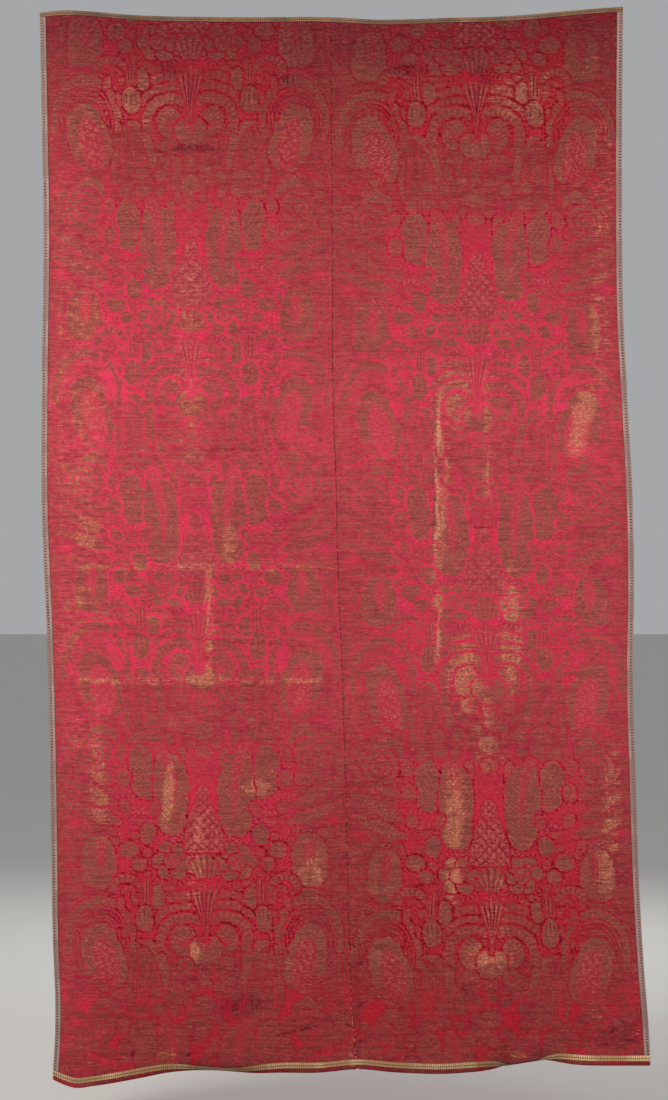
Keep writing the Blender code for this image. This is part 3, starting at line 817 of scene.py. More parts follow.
def silk_material():
    """The front of the silk: ground, brown figure, bare satin, rules and seeds, with painted glints and
    shade.
    """
    s = Shader("figured_silk")
    cloth = s.cloth()
    names = ("figure", "edge", "red", "lit", "tone", "bright", "zone", "glint", "lines", "thin_shadow", "seam")
    figure, edge, red, lit, tone, bright, zone, glint, lines, thin_shadow, seam = [s.number(name) for name in names]
    weft = s.noise(cloth, 34, 3, 3, 0.6)
    long_weft = s.noise(cloth, 170, 7, 2, 0.5, 31)
    warp = s.noise(cloth, 2.2, 46, 2, 0.6, 57)
    grain = s.noise(cloth, 9, 3.4, 3, 0.55, 83)
    fine = s.noise(cloth, 6, 3, 2, 0.5, 71)
    leafy = s.noise(cloth, 17, 12, 2, 0.6, 5)
    patch = s.noise(cloth, 60, 44, 4, 0.6, 11)
    streak = weft * 0.56 + long_weft * 0.3 + grain * 0.14

    def by_light(colours, name=""):
        return s.mix(lit, colours["dim" + name], colours["lit" + name])

    def around(value, reach):
        return (value - 0.5) * reach

    fibre = s.fade(streak, 0.36, 0.64)
    satin = by_light(SATIN)
    ground = s.mix(fibre, by_light(GROUND, "_deep"), by_light(GROUND))
    dim_zone = zone * s.fade(lit, 0.1, 0.8, 1, 0.2)
    ground = s.mix(dim_zone * s.fade(grain, 0.36, 0.6, 0.4, 0.95), ground, satin)
    brown = s.mix(fibre, by_light(FIGURE, "_deep"), by_light(FIGURE))
    uneven = around(grain, 4.5) + (around(weft, 3) + around(leafy, 6))
    covers = s.fade(figure + uneven, -1, 0.7, 1, 0) * tone
    haze = patch * 0.35 + grain * 0.4 + (0.85 - s.leafy_cells(cloth)) * 0.32
    clear = s.math("SUBTRACT", 1, s.most(bright, dim_zone * 0.75), True)
    haze = s.fade(haze, 0.4, 0.56, 0, 0.55) * clear
    base = s.mix(s.most(covers, haze), ground, brown)
    shown = bright * s.fade(figure + uneven, -0.5, 1.5)
    base = s.mix(shown * s.fade(fine, 0.35, 0.55, 0.35, 0.95), base, satin)
    blush = s.fade(red + uneven, -0.6, 1.6, 0.75, 0)
    base = s.mix(s.most(blush, s.fade(leafy, 0.5, 0.64, 0, 0.4)), base, by_light(ROSE))
    mottle = s.number("fleck") * s.fade(s.noise(cloth, 3, 7, 2, 0.7, 19), 0.44, 0.6)
    base = s.mix(mottle * 0.55, base, brown)
    tinsel = s.fade(fine + around(patch, 0.3), 0.56, 0.7) * s.most(covers, haze)
    base = s.mix(tinsel * 0.4, base, GOLD)

    dashes = s.fade(s.noise(cloth, 11, 1.9, 2, 0.6, 41), 0.55, 0.7, 0, 0.24)
    base = s.mix(dashes * s.fade(grain, 0.4, 0.6), base, by_light(SEED))
    texture = weft * 0.7 + covers * 0.3
    flicker = around(leafy, 1.3) + (around(weft, 0.8) + around(warp, 0.5))
    lighted = s.fade(glint + flicker, 0.1, 0.95)
    shine = lighted * s.fade(texture + around(grain, 0.7), 0.3, 0.66, 0, 0.8)
    base = s.mix(shine, base, s.mix(s.fade(fine, 0.5, 0.66), GOLD, GOLD_PALE))
    # painted highlights along the ridges of old folds
    ridge_highlight = s.number("ridge_highlight") + (around(weft, 5) + around(fine, 3))
    ridge_highlight = s.fade(ridge_highlight, -1.8, 1, 1, 0) * s.fade(grain, 0.36, 0.6, 0.1, 0.9)

    wave = s.wave(s.number("phase"))
    ruled = s.fade(wave + around(fine, 0.25), 0.06, 0.24, 1, 0) * lines
    ruled = ruled * s.fade(zone, 0, 1, 0.6, 0.86)
    ruled = ruled * s.math("ADD", s.fade(lit, 0.1, 0.6, 0.75, 0.4), glint, True)
    between = s.fade(wave + around(fine, 0.4), 0.32, 0.5) * lines
    base = s.mix(between * zone * 0.26, base, by_light(SEED))
    base = s.mix(ruled * s.fade(leafy, 0.35, 0.55, 0.45, 1), base, by_light(RULED))
    seed = s.math("MINIMUM", s.wave(s.number("along")), s.wave(s.number("across"))) * 1.2
    seed = seed + (around(fine, 1.2) + around(leafy, 0.6))
    # seeds show more where the painted light is dim and where glints are painted
    light_on_seeds = s.most(s.fade(lit, 0.3, 0.8, 1, 0.35), glint * 1.2)
    sown = s.number("seeds") * (light_on_seeds * s.math("ADD", zone, 0.55, True))
    base = s.mix(s.fade(seed, 0.12, 0.6, 0, 0.6) * sown, base, by_light(SEED))
    base = s.mix(s.fade(seed, -0.15, 0.2, 0.75, 0) * sown, base, by_light(RULED))

    base = s.mix(ridge_highlight, base, s.mix(s.fade(warp, 0.4, 0.62), GOLD_PALE, RIDGE_HIGHLIGHT))
    broken = s.fade(patch * 0.4 + grain * 0.3 + leafy * 0.3, 0.4, 0.54)
    strong = s.fade(tone, 0.1, 0.8) * broken * s.fade(zone, 0, 1, 0.6, 1)
    combed = edge + around(weft, 1.7)
    near = combed + around(fine, 1.4) + s.fade(zone, 0, 1, 0.3, 0)
    band = s.fade(near, 0.6, 2.1, 1, 0) * strong
    base = s.mix(band * s.fade(lit, 0.2, 0.8, 1, 0.78), base, satin)
    core = s.fade(combed + around(fine, 1.6), 0, 1.3, 1, 0)
    core = core * strong * s.fade(lit, 0.3, 0.7, 1, 0)
    base = s.mix(core, base, DARK)
    # painted shade where old folds keep the light off, along the top and above the hem
    base = s.mix(s.number("crease") * s.fade(grain, 0.36, 0.6, 0.9, 0.3), base, PAINTED_SHADE)
    # thin painted shade in short folds
    ragged_thin_shadow = thin_shadow + (around(grain, 2.2) + around(warp, 2.2))
    thin_shadowed = s.fade(ragged_thin_shadow, 0.25, 0.9, 0, 0.75) * s.fade(thin_shadow, 0.02, 0.3)
    base = s.mix(thin_shadowed, base, THIN_SHADOW_COLOUR)
    # a painted highlight on the raised edge to the left of the seam
    beside = s.fade(abs(seam + 3.4), 0.8, 2.2, 0.5, 0)
    base = s.mix(beside * s.fade(grain, 0.4, 0.6), base, satin)
    # painted shade in the seam's valley
    nearness = abs(seam)
    furrow = s.fade(nearness + around(leafy, 5), 0, 2.2, 0.55, 0)
    base = s.mix(furrow, base, PAINTED_SHADE)
    thread = s.fade(s.noise(cloth, 1.6, 5, 1, 0.5, 91), 0.58, 0.64)
    thread = s.fade(nearness, 0.5, 1.7, 1, 0) * thread
    base = s.mix(thread * 0.8, base, GOLD_PALE)

    height = covers * 0.5 + weft * 0.6 + s.fade(edge, 0.2, 1.6) * 0.5
    rough = s.fade(covers, 0, 0.8, 0.6, 0.5) - shine * 0.12 - s.fade(warp, 0.5, 0.7) * 0.06
    sheen = {"Sheen Weight": 0.03, "Sheen Roughness": 0.5, "Sheen Tint": colour((230, 120, 130))}
    return s.finish(s.shaded(base), rough, 0.1, height, 0.3, sheen)


def reverse_material():
    """The back of the silk: long floats of crimson and tan, with tan blotches in cells as large as small
    leaves.
    """
    s = Shader("silk_reverse")
    cloth = s.cloth()
    weft = s.noise(cloth, 60, 2.6, 3, 0.6, 5)
    band = s.noise(cloth, 240, 30, 2, 0.5, 43)
    motif = s.leafy_cells(cloth) * 0.8 + (weft - 0.5)
    base = s.mix(s.fade(weft, 0.35, 0.65), (128, 34, 44), (172, 56, 64))
    base = s.mix(s.fade(motif, 0.1, 0.7, 0.5, 0), base, (166, 104, 84))
    base = s.mix(s.fade(band, 0.45, 0.7) * 0.3, base, (178, 112, 90))
    return s.finish(base, s.fade(weft, 0.3, 0.7, 0.6, 0.72), 0.2, weft, 0.4)


def braid_material(name, pale, mid, dark, ribs, dashes):
    """Metal braid: ribs across it, and a row of slanted dashes where dashes is above nought."""
    s = Shader(name)
    cloth = s.cloth()
    along_it, across_it = s.number("along"), s.number("across")
    grain = s.noise(cloth, 1.8, 1.8, 2, 0.6, 3)
    tone = s.noise(cloth, 60, 60, 2, 0.5, 23)
    rib = s.wave(along_it / ribs)
    base = s.mix(s.fade(grain, 0.35, 0.65), mid, pale)
    base = s.mix(s.fade(tone, 0.4, 0.6, 0, 0.9), base, mid)
    base = s.mix(s.fade(rib, 0.08, 0.3, 0.65 - 0.45 * dashes, 0), base, dark)
    tick = s.wave((along_it + across_it * 3) / DASH_STEP) + (tone - 0.5) * 0.5
    row = s.fade(abs(across_it - 0.36), 0.12, 0.24, 1, 0)
    dash = s.fade(tick, 0.1, 0.24, 1, 0) * row * dashes
    base = s.mix(dash * 0.95, base, dark)
    groove = s.fade(abs(across_it - 0.55), 0.03, 0.16, 0.75 - 0.75 * dashes, 0)
    base = s.mix(groove, base, dark)
    rim = s.fade(abs(across_it - 0.5), 0.4, 0.5, 0, 0.4)
    base = s.mix(rim, base, dark)
    height = grain * 0.4 + s.fade(rib, 0.05, 0.35) - dash * 1.2
    return s.finish(s.shaded(base), s.fade(grain, 0.3, 0.7, 0.42, 0.6), 0.3, height, 0.5)


def sheet_object(name, points, faces, finishes, finish_of, numbers, cloth):
    """A mesh with its materials, the numbers they read, its flat places, and a texture layout from these."""
    data = bpy.data.meshes.new(name)
    data.from_pydata(points * MM, [], faces.tolist())
    for finish in finishes:
        data.materials.append(finish)
    data.polygons.foreach_set("material_index", finish_of.astype(np.int32))
    for key, values in numbers.items():
        made = data.attributes.new(key, "FLOAT", "POINT")
        made.data.foreach_set("value", np.asarray(values, np.float32))
    made = data.attributes.new("cloth", "FLOAT_VECTOR", "POINT")
    made.data.foreach_set("vector", cloth.astype(np.float32).reshape(-1))
    loops = np.empty(len(data.loops), np.int32)
    data.loops.foreach_get("vertex_index", loops)
    low, high = cloth[:, :2].min(axis=0), cloth[:, :2].max(axis=0)
    flat = (cloth[:, :2] - low) / (high - low)
    layout = data.uv_layers.new(name="OFBake")
    layout.data.foreach_set("uv", flat[loops].astype(np.float32).reshape(-1))
    data.shade_smooth()
    return linked(name, data)


def linked(name, data):
    """An object with this data, in the scene."""
    made = bpy.data.objects.new(name, data)
    bpy.context.scene.collection.objects.link(made)
    return made


def quads(columns, rows, first=0):
    """The faces of a grid whose vertices run down each column in turn, facing the front."""
    i, j = np.meshgrid(np.arange(columns - 1), np.arange(rows - 1), indexing="ij")
    a = (first + i * rows + j).ravel()
    return np.stack([a, a + 1, a + rows + 1, a + rows], axis=1)


# How light the silk is at each height of the drawing, and how much light reaches it
LIGHT = {
    "y": (20, 110, 230, 300, 400, 560, 700, 800, 880, 1060),
    "level": (0, 0.08, 0.45, 0.68, 0.92, 0.76, 0.62, 0.32, 0.14, 0.05),
}
SHADE = {
    "y": (16, 35, 70, 110, 190, 240, 330, 400, 450, 520, 620, 700),
    "level": (0.72, 0.75, 0.79, 0.87, 0.97, 0.95, 0.94, 0.96, 1.02, 0.96, 0.98, 0.99),
}
# How far the weave wavers from the drawing: waves across and down, turn and reach, in its steps
WAVER = table(
    "across down turn reach",
    (41, 67, 0.3, 1.1),
    (23, 19, 1.9, 0.8),
    (13, 16, 4.1, 0.5),
)


def waver(x, y, turn):
    """A small uneven shift, so that no two repeats are quite alike."""
    total = np.zeros_like(x)
    for row in WAVER:
        bent = y / row.down + 0.6 * np.sin(x / row.across + turn)
        total += row.reach * np.sin(x / row.across * 2 + row.turn + turn) * np.sin(2 * bent + turn * 2)
    return total


def pattern_numbers(side, across, down):
    """All that the silk's material reads at flat places of one loom width."""
    x, y = ZERO["x"] + across / STEP, ZERO["y"] + down / STEP
    axis = np.interp(y, AXIS[side]["y"], AXIS[side]["x"])
    drawn = draw(np.abs(x - axis + waver(x, y, 0)), y - CROWN[side] + waver(x, y, 2.2))
    side_light = 0.3 * ease((150 - x) / 90) - 0.1 * ease((x - 320) / 60) * ease((600 - x) / 40)
    numbers = {name: getattr(drawn, name) for name in DISTANCES + STRENGTHS}
    numbers["lit"] = np.interp(y, LIGHT["y"], LIGHT["level"]) + side_light
    numbers["zone"] = drawn.zone * ease((1000 - y) / 30)
    foot = ease((y - FOOT) / 40)
    numbers["tone"] = drawn.tone * (1 - 0.5 * foot)
    numbers["seeds"] = drawn.seeds * (1 - 0.7 * ease((y - 940) / 60))
    mottled = ease(0.5 + 0.8 * np.sin(x / 9 + y / 31) * np.sin(y / 12 + x / 47))
    numbers["bright"] = np.maximum(drawn.bright, 0.9 * foot * mottled)
    numbers["shade"] = np.interp(y, SHADE["y"], SHADE["level"])
    numbers["ridge_highlight"] = ridges(x, y)
    # painted light and shade: glints, shade of old folds, and thin shade in short folds
    for name, rows in (("glint", GLINTS), ("crease", SHADOWS), ("thin_shadow", THIN_SHADOWS)):
        numbers[name] = patches(rows, x, y)
    return numbers


# Where a fold catches the light: middle, half sizes, lean in degrees, strength
GLINTS = table(
    "x y wide tall lean much",
    (66, 360, 40, 230, 0, 0.3),
    (190, 360, 16, 130, 0, 0.34),
    (209, 622, 5, 60, 0, 0.85),
    (203, 680, 18, 7, 0, 0.7),
    (230, 545, 7, 24, 0, 0.6),
    (78, 470, 18, 60, 0, 0.5),
    (88, 530, 13, 24, 0, 0.7),
    (62, 440, 6, 150, 0, 0.5),
    (70, 625, 16, 40, 20, 0.5),
    (98, 780, 9, 58, -3, 0.62),
    (76, 730, 9, 24, 0, 0.5),
    (168, 795, 6, 36, 5, 0.75),
    (256, 788, 15, 9, 0, 0.6),
    (196, 868, 9, 50, 6, 0.55),
    (194, 952, 7, 12, 0, 0.7),
    (312, 876, 12, 20, 0, 0.5),
    (190, 567, 150, 4, 0, 0.6),
    (190, 681, 150, 4, 0, 0.6),
    (120, 617, 60, 6, 2, 0.45),
    (455, 395, 22, 40, 0, 0.5),
    (442, 440, 8, 70, 0, 0.7),
    (440, 520, 7, 60, 0, 0.5),
    (437, 600, 6, 75, 0, 0.6),
    (488, 440, 5, 80, 1, 0.5),
    (585, 405, 12, 26, 14, 0.76),
    (577, 440, 9, 22, 14, 0.7),
    (600, 330, 9, 70, 0, 0.5),
    (510, 630, 12, 58, 0, 0.74),
    (464, 676, 17, 40, 0, 0.74),
    (486, 735, 12, 36, 0, 0.5),
    (454, 815, 11, 44, 2, 0.62),
    (453, 878, 9, 28, 0, 0.55),
    (488, 955, 22, 14, 0, 0.6),
    (495, 920, 12, 50, 0, 0.4),
    (612, 810, 9, 60, 0, 0.62),
    (606, 870, 10, 26, 0, 0.55),
    (604, 200, 10, 90, 0, 0.45),
    (520, 95, 40, 26, 0, 0.45),
    (130, 100, 50, 26, 0, 0.42),
    (165, 1055, 12, 4, -6, 0.6),
    (518, 1056, 12, 4, 4, 0.6),
    (636, 1030, 6, 4, 0, 0.6),
)
# Thin ridges of old folds, painted as highlights: places along them, half widths, strength
FOLD_LIGHTS = table(
    "x y half much",
    ((441, 439, 439, 438), (372, 405, 435, 458), (0.6, 2, 3.4, 1), 0.25),
    ((433, 434, 436, 438, 437), (405, 450, 478, 490, 503), (0, 0.3, 1.5, 1.7, 1), 1),
    ((436, 437, 439, 434), (503, 515, 527, 537), (1, 1.5, 1.6, 2), 1),
    ((442, 443, 444, 440, 434), (508, 516, 526, 534, 540), (0.4, 1, 1.4, 1.6, 1.4), 0.9),
    ((434, 436, 434, 436), (540, 552, 565, 577), (2, 2.4, 1.6, 0.4), 0.6),
    ((436, 440, 438, 438, 437), (600, 610, 625, 655, 675), (0.6, 1.4, 1.2, 1.8, 0.4), 0.7),
    ((486, 488, 487, 490, 493), (445, 460, 480, 495, 507), (0.2, 0.6, 1, 0.6, 0.2), 0.8),
    ((487, 483, 486, 486), (366, 382, 400, 420), (0.8, 1.2, 0.6, 0.3), 0.6),
    ((206, 208, 209, 207), (562, 580, 610, 634), (0.6, 1.8, 2, 0.4), 0.4),
    ((604, 607, 610, 612), (760, 790, 830, 872), (0.3, 1, 0.8, 0.3), 0.3),
    ((164, 168, 172), (782, 800, 822), (0.3, 0.8, 0.3), 0.5),
    ((440, 447, 452, 450), (784, 800, 822, 850), (0.3, 1, 1, 0.3), 0.4),
    ((96, 98, 101, 100), (742, 760, 790, 820), (0.2, 0.8, 0.6, 0.2), 0.3),
)
# Painted shade: where old folds keep the light off, along the top, above the hem, and in a few broad patches
SHADOWS = table(
    "x y wide tall lean much",
    (215, 640, 95, 1.8, 4, 0.6),
    (235, 450, 34, 2.2, 0, 0.7),
    (434, 480, 1.4, 110, 0, 0.6),
    (338, 1062, 60, 2.2, -3, 0.8),
    (245, 1006, 26, 14, 0, 0.28),
    (355, 1050, 3, 9, 8, 0.8),
    (170, 150, 60, 4, 0, 0.35),
    (330, 12, 420, 54, 0, 0.85),
    (240, 70, 100, 50, 0, 0.3),
    (600, 875, 26, 24, 0, 0.3),
    (330, 1075, 420, 9, 0, 0.6),
    (625, 1036, 34, 10, -4, 0.6),
    (640, 1026, 8, 16, 0, 0.5),
    (262, 560, 34, 320, 0, 0.22),
    (357, 990, 4, 56, -1, 0.5),
    (326, 1019, 20, 1.2, 2, 0.6),
)
# Thin painted shade in short folds above the hem, at its right corner, beside the foot of the seam, and a few
# higher up
THIN_SHADOWS = table(
    "x y wide tall lean much",
    (298, 1030, 28, 1, -14, 0.9),
    (240, 1005, 25, 13, -8, 0.36),
    (204, 968, 8, 2.6, 10, 0.5),
    (222, 967, 9, 2.6, -12, 0.5),
    (483, 527, 15, 1.2, 0, 0.9),
    (193, 148, 24, 5, 0, 0.55),
    (171, 68, 17, 8, 0, 0.5),
    (407, 70, 25, 6, 0, 0.5),
    (291, 80, 14, 5, 0, 0.45),
    (484, 74, 10, 12, 0, 0.4),
    (612, 1030, 8, 1.6, -24, 0.8),
    (630, 1040, 10, 1.8, 12, 0.8),
    (646, 1032, 2, 8, -15, 0.8),
    (622, 1021, 7, 1.5, 30, 0.6),
    (352, 945, 5, 1.2, 34, 0.6),
    (361, 962, 5, 1.2, -30, 0.7),
    (350, 984, 6, 1.3, 28, 0.6),
    (362, 1004, 6, 1.3, -34, 0.7),
    (350, 1026, 6, 1.4, 24, 0.7),
    (363, 1040, 7, 1.6, -26, 0.7),
    (133, 1054, 1.6, 4, 20, 0.9),
    (190, 1054, 5, 1.6, -20, 0.9),
    (604, 1044, 9, 1.4, -8, 0.8),
    (640, 1012, 1.5, 7, 10, 0.7),
    (652, 1044, 1.5, 6, 0, 0.9),
)


def patches(rows, x, y):
    """The strongest of a table's patches at each place."""
    most = np.zeros_like(x)
    for row in rows:
        across, down = rotated(x - row.x, y - row.y, row.lean)
        most = np.maximum(most, row.much * ease(1.5 - np.hypot(across / row.wide, down / row.tall)))
    return most


def ridges(x, y):
    """How far each place lies from the nearest painted highlight on an old fold's ridges, less for the
    stronger ones.
    """
    best = np.full_like(x, 9)
    for row in FOLD_LIGHTS:
        away = to_band(x, y, list(zip(row.x, row.y, row.half)))
        best = np.minimum(best, away + 1.6 * (1 - row.much))
    return best


def turned_places(side, columns, rows, level):
    """Places of the cloth's skin at a level in front of its mid-surface, and flat places.

    A column holds its share across, its way outward and back and its turn in degrees. A row holds its share
    down, its millimetres further down, its way outward and back and its turn.
    """
    across_table = np.array(columns, float)[:, None, :]
    down_table = np.array(rows, float)[None, :, :]
    share, out_x, back_x, turn_x, down_share, down_mm, out_z, back_z, turn_z = np.broadcast_arrays(
        *np.moveaxis(across_table, -1, 0), *np.moveaxis(down_table, -1, 0)
    )
    points, flat_x, flat_y, across, down, normals = frames(side, share, down_share, down_mm)
    turn = np.radians(turn_x + turn_z)[..., None]
    sideways = across * np.sign(share - 0.5)[..., None]
    lengthways = down * np.sign(down_share - 0.5)[..., None]
    outward = np.where(turn_x[..., None] > 0, sideways, lengthways)
    places = points + across * out_x[..., None] + down * out_z[..., None]
    places = places - normals * (back_x + back_z)[..., None]
    places = places + (normals * np.cos(turn) + outward * np.sin(turn)) * level
    return places, np.stack([flat_x + out_x, flat_y + out_z, np.full_like(flat_x, LAYER[side])], axis=-1)


def sheet_columns(count):
    """The columns of one loom width, from its left turned edge to its right one."""
    left = [(p / CLOTH_WIDE, out, back, deg) for p, out, back, deg in turned(-1, SIDE_TURNING)]
    right = [(1 + p / CLOTH_WIDE, out, back, deg) for p, out, back, deg in turned(1, SIDE_TURNING)]
    return left[::-1] + [(share, 0, 0, 0) for share in np.linspace(0, 1, count)] + right


def sheet_rows(count):
    """The rows of one loom width, from the heading's turned edge to the hem's."""
    top = [(0, p, out, back, deg) for p, out, back, deg in turned(-1, HEADING_TURNING)]
    low = [(1, p, out, back, deg) for p, out, back, deg in turned(1, HEM_TURNING)]
    return top[::-1] + [(share, 0, 0, 0, 0) for share in np.linspace(0, 1, count)] + low


def brocade(side, silk, reverse):
    """One loom width: its front with the drawn repeat, its turned edges, and its back."""
    columns, rows = sheet_columns(SHEET_COLUMNS), sheet_rows(SHEET_ROWS)
    places, flat = turned_places(side, columns, rows, CLOTH_THICK / 2)
    inward = 1 if side == "left" else -1
    at_seam = np.array([column[1] * inward > 0 for column in columns])
    places[at_seam, :, 0] += inward * SEAM_TOUCH
    # faces of the front and of its turned edges, without the corners where two turned edges would cross
    turns_x = np.array([column[-1] for column in columns])
    turns_z = np.array([row[-1] for row in rows])
    first, last = np.argmax(turns_z == 0), len(rows) - 1 - np.argmax(turns_z[::-1] == 0)
    clear_top, clear_low = (int(t / (CLOTH_LONG / SHEET_ROWS)) + SPARE_ROWS for t in TURNINGS)
    i, j = np.meshgrid(np.arange(len(columns) - 1), np.arange(len(rows) - 1), indexing="ij")
    turn = np.maximum(turns_x[i], turns_x[i + 1])
    front_row = (j >= first) & (j < last)
    clear = (j >= first + clear_top) & (j < last - clear_low)
    keep = (turn == 0) | clear | (front_row & (turn < FLAT_TURN))
    faces = quads(len(columns), len(rows))[keep.ravel()]
    # the back, and the points that are left
    back_columns = [(s, 0, 0, 0) for s in np.linspace(0, 1, BACK_COLUMNS)]
    back_rows = [(s, 0, 0, 0, 0) for s in np.linspace(0, 1, BACK_ROWS)]
    back, back_flat = turned_places(side, back_columns, back_rows, CLOTH_THICK / 2 - SHEET_THICK)
    back_faces = quads(BACK_COLUMNS, BACK_ROWS, flat[..., 0].size)[:, ::-1]
    finish_of = np.repeat((0, 1), (len(faces), len(back_faces)))
    used, index = np.unique(np.concatenate([faces, back_faces]), return_inverse=True)
    points = np.concatenate([places.reshape(-1, 3), back.reshape(-1, 3)])[used]
    flats = np.concatenate([flat.reshape(-1, 3), back_flat.reshape(-1, 3)])[used]
    numbers = pattern_numbers(side, flats[:, 0], flats[:, 1])
    numbers["seam"] = flats[:, 0] - along(SEAM_LINE, "z", "x", -flats[:, 1] + TOP_EDGE["z"][0])
    # painted shade on the narrow strip below the bottom braid
    strip = np.zeros(places.shape[:2])
    strip[:, last - 1:] = 1
    below_braid = np.concatenate([strip.ravel(), np.zeros(back_flat[..., 0].size)])[used]
    numbers["shade"] = numbers["shade"] * (1 - STRIP_DIMMING * below_braid)
    faces = index.reshape(-1, 4)
    made = sheet_object("silk_" + side, points, faces, [silk, reverse], finish_of, numbers, flats)
    placed(made, "brocade_" + side)
    width, length = np.ptp(flat[..., 0], axis=0).mean(), np.ptp(flat[..., 1], axis=1).mean()
    width, length = width + 2 * SIDE_TURNING, length + HEM_TURNING + HEADING_TURNING


def placed(made, node):
    """Hangs a piece on the root body and hides the node of the solids that it stands for."""
    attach(made, "root")
    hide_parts(node)


# How bright each braid looks along its length, as painted light and shade: places in the drawing's steps, and
# levels
BRAID_SHADE = {
    "braid_top": {"at": (28, 60, 100, 170, 200, 318, 325, 334, 450, 462, 474, 640),
                  "level": (1.3, 1.05, 0.8, 0.8, 1, 1, 1.3, 1, 1, 1.3, 1, 1.1)},
    "braid_bottom": {"at": (54, 120, 180, 195, 240, 256, 330, 420, 490, 506, 536, 550, 580, 640, 650),
                     "level": (0.9, 1, 0.9, 0.5, 0.55, 0.9, 0.95, 0.9, 0.8, 0.3, 0.35, 0.85, 1.1, 1.2,
                               1.3)},
    "braid_left": {"at": (20, 200, 500, 1060), "level": (0.85, 1, 1, 0.8)},
    "braid_right": {"at": (20, 200, 500, 1060), "level": (0.85, 0.95, 1, 0.8)},
}


def braid_strip(name, node, slot_name, places, flat, along_mm, across_share, finish):
    """A braid as a closed ribbon: a front skin and a back one with a rim between them."""
    faces = quads(*places.shape[:2])
    flats = flat.reshape(-1, 3)
    x, y = ZERO["x"] + flats[:, 0] / STEP, ZERO["y"] + flats[:, 1] / STEP
    lengthways = x if slot_name == "end_braid" else y
    shade = np.interp(lengthways, BRAID_SHADE[node]["at"], BRAID_SHADE[node]["level"])
    numbers = {"along": along_mm.ravel(), "across": across_share.ravel(), "shade": shade}
    finish_of = np.zeros(len(faces))
    made = sheet_object(name, places.reshape(-1, 3), faces, [finish], finish_of, numbers, flats)
    solid = made.modifiers.new("thickness", "SOLIDIFY")
    solid.thickness = RIBBON_THICK * MM
    solid.offset = -1
    placed(made, node)


def side_braid(side, finish):
    """The braid down one side, with small scallops along its outer edge."""
    wide, long = SIDE_BRAID_GRID
    sign, share = (1, 0) if side == "left" else (-1, 1)
    outward = np.linspace(-BRAID_REACH, SIDE_BRAID - BRAID_REACH, wide)
    columns = [(share, sign * out, 0, 0) for out in outward][::sign]
    top = TOP_BRAID - BRAID_REACH + PIECE_GAP
    low = TURN_REACH - BOTTOM_BRAID_ABOVE_EDGE - BOTTOM_BRAID - PIECE_GAP
    rows = [(t, top * (1 - t) + low * t, 0, 0, 0) for t in np.linspace(0, 1, long)]
    places, flat = turned_places(side, columns, rows, FACE)
    along_mm = flat[..., 1]
    across = np.broadcast_to(np.linspace(0, 1, wide)[:, None], places.shape[:2])
    outside = across if side == "left" else 1 - across
    places[..., 0] += bump(outside, 0.12) * SCALLOP * sign * np.cos(2 * np.pi * along_mm / DASH_STEP)
    braid_strip("braid_trim_" + side, "braid_" + side, "side_braid", places, flat, along_mm, outside, finish)


def end_braid(end, high, low, finish):
    """The braid along the top or the bottom, in one length over both loom widths."""
    wide, long = END_BRAID_GRID
    parts, flats = [], []
    rows = [(0, 0, mm, 0, 0) if end == "top" and mm < 0 else (float(end != "top"), mm, 0, 0, 0)
            for mm in np.linspace(high, low, long)]
    inner = [(share, 0, 0, 0) for share in np.linspace(0, 1, wide)]
    for side, columns in (("left", [(0, -BRAID_REACH, 0, 0)] + inner),
                          ("right", inner + [(1, BRAID_REACH, 0, 0)])):
        places, flat = turned_places(side, columns, rows, FACE)
        parts.append(places)
        flats.append(flat)
    places, flat = np.concatenate(parts), np.concatenate(flats)
    across = np.broadcast_to(np.linspace(0, 1, long), places.shape[:2])
    braid_strip("braid_trim_" + end, "braid_" + end, "end_braid", places, flat, flat[..., 0], across, finish)


# Lights round the panel, all turned to its middle: place and size in metres, watts, tint
MIDDLE = (0, 0, -0.98)
LIGHTS = table(
    "name place size power tint",
    ("key", (-2.6, -3.6, 1.6), (2, 2), 148, (1, 0.97, 0.93)),
    ("fill", (3, -4.2, -0.2), (2.4, 2.4), 60, (0.95, 0.97, 1)),
    ("behind", (0.6, 3.6, 1.2), (2.4, 2), 70, (1, 0.98, 0.95)),
)
FLOOR = {"level": -2.03, "half": 40, "rgb": (212, 210, 206)}
CAMERA_AWAY = 7
FILM = 36


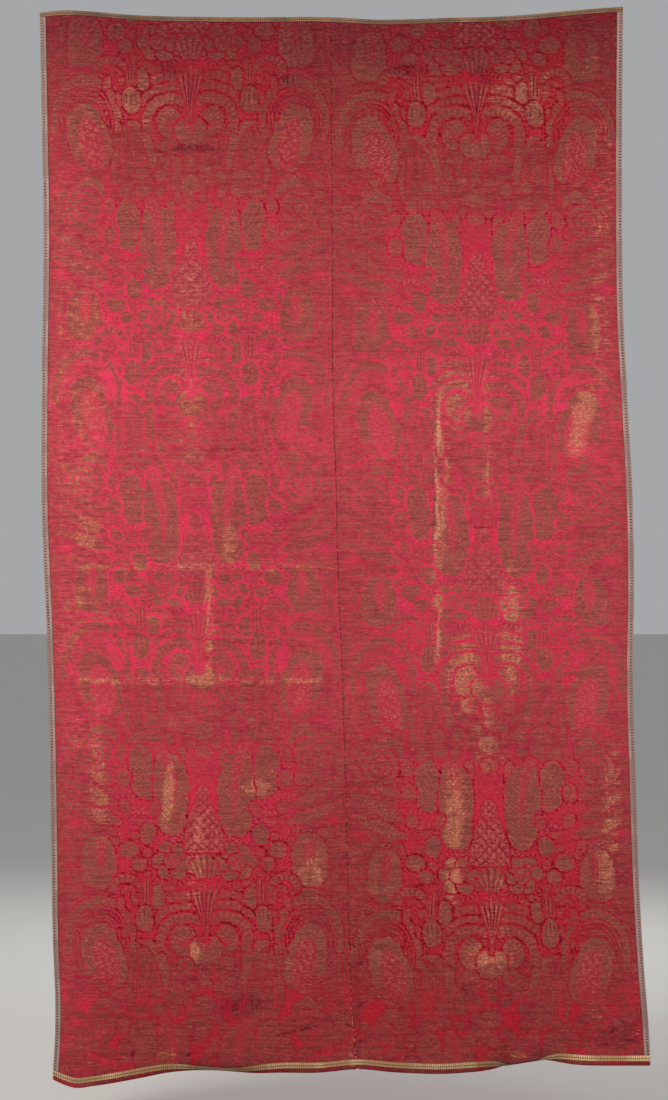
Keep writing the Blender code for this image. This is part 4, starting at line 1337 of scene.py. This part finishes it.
def studio():
    """The floor, the lights and the pale surroundings."""
    low, half = FLOOR["level"], FLOOR["half"]
    data = bpy.data.meshes.new("floor")
    corners = [(-half, -half, low), (half, -half, low), (half, half, low), (-half, half, low)]
    data.from_pydata(corners, [], [(0, 1, 2, 3)])
    data.materials.append(Shader("pale_floor").finish(colour(FLOOR["rgb"]), 0.9, 0.1))
    linked("floor", data)
    for row in LIGHTS:
        data = bpy.data.lights.new(row.name, "AREA")
        data.shape = "RECTANGLE"
        data.size, data.size_y = row.size
        data.energy = row.power
        data.color = row.tint
        made = linked(row.name, data)
        made.location = row.place
        made.rotation_euler = (Vector(MIDDLE) - Vector(row.place)).to_track_quat("-Z", "Y").to_euler()
    world = bpy.data.worlds.new("studio")
    world.use_nodes = True
    background = world.node_tree.nodes["Background"]
    background.inputs["Color"].default_value = (0.9, 0.92, 0.95, 1)
    background.inputs["Strength"].default_value = 0.42
    bpy.context.scene.world = world
    bpy.context.scene.view_settings.view_transform = "Standard"


def camera():
    """A camera level with the middle of the picture, which takes in its whole height."""
    data = bpy.data.cameras.new("camera")
    data.lens = FILM * CAMERA_AWAY / (VIEW["high"] * STEP * MM)
    data.clip_end = 60
    made = linked("camera", data)
    made.location = ((VIEW["x"] - ZERO["x"]) * STEP * MM, -CAMERA_AWAY, -(VIEW["y"] - ZERO["y"]) * STEP * MM)
    made.rotation_euler = (np.radians(90), 0, 0)
    bpy.context.scene.camera = made


silk, reverse = silk_material(), reverse_material()
pale_braid = braid_material("side_braid_thread", (204, 170, 158), (164, 126, 116), (52, 30, 30), 1.8, 1)
gold_braid = braid_material("end_braid_thread", (236, 200, 150), (176, 132, 84), (96, 58, 36), 4, 0)
top_gold = braid_material("top_braid_thread", (172, 128, 88), (124, 88, 62), (70, 40, 30), 4, 0)
for side in ("left", "right"):
    brocade(side, silk, reverse)
    side_braid(side, pale_braid)
end_braid("top", -BRAID_REACH, TOP_BRAID - BRAID_REACH, top_gold)
low_edge = TURN_REACH - BOTTOM_BRAID_ABOVE_EDGE
end_braid("bottom", low_edge - BOTTOM_BRAID, low_edge, gold_braid)
camera()
studio()
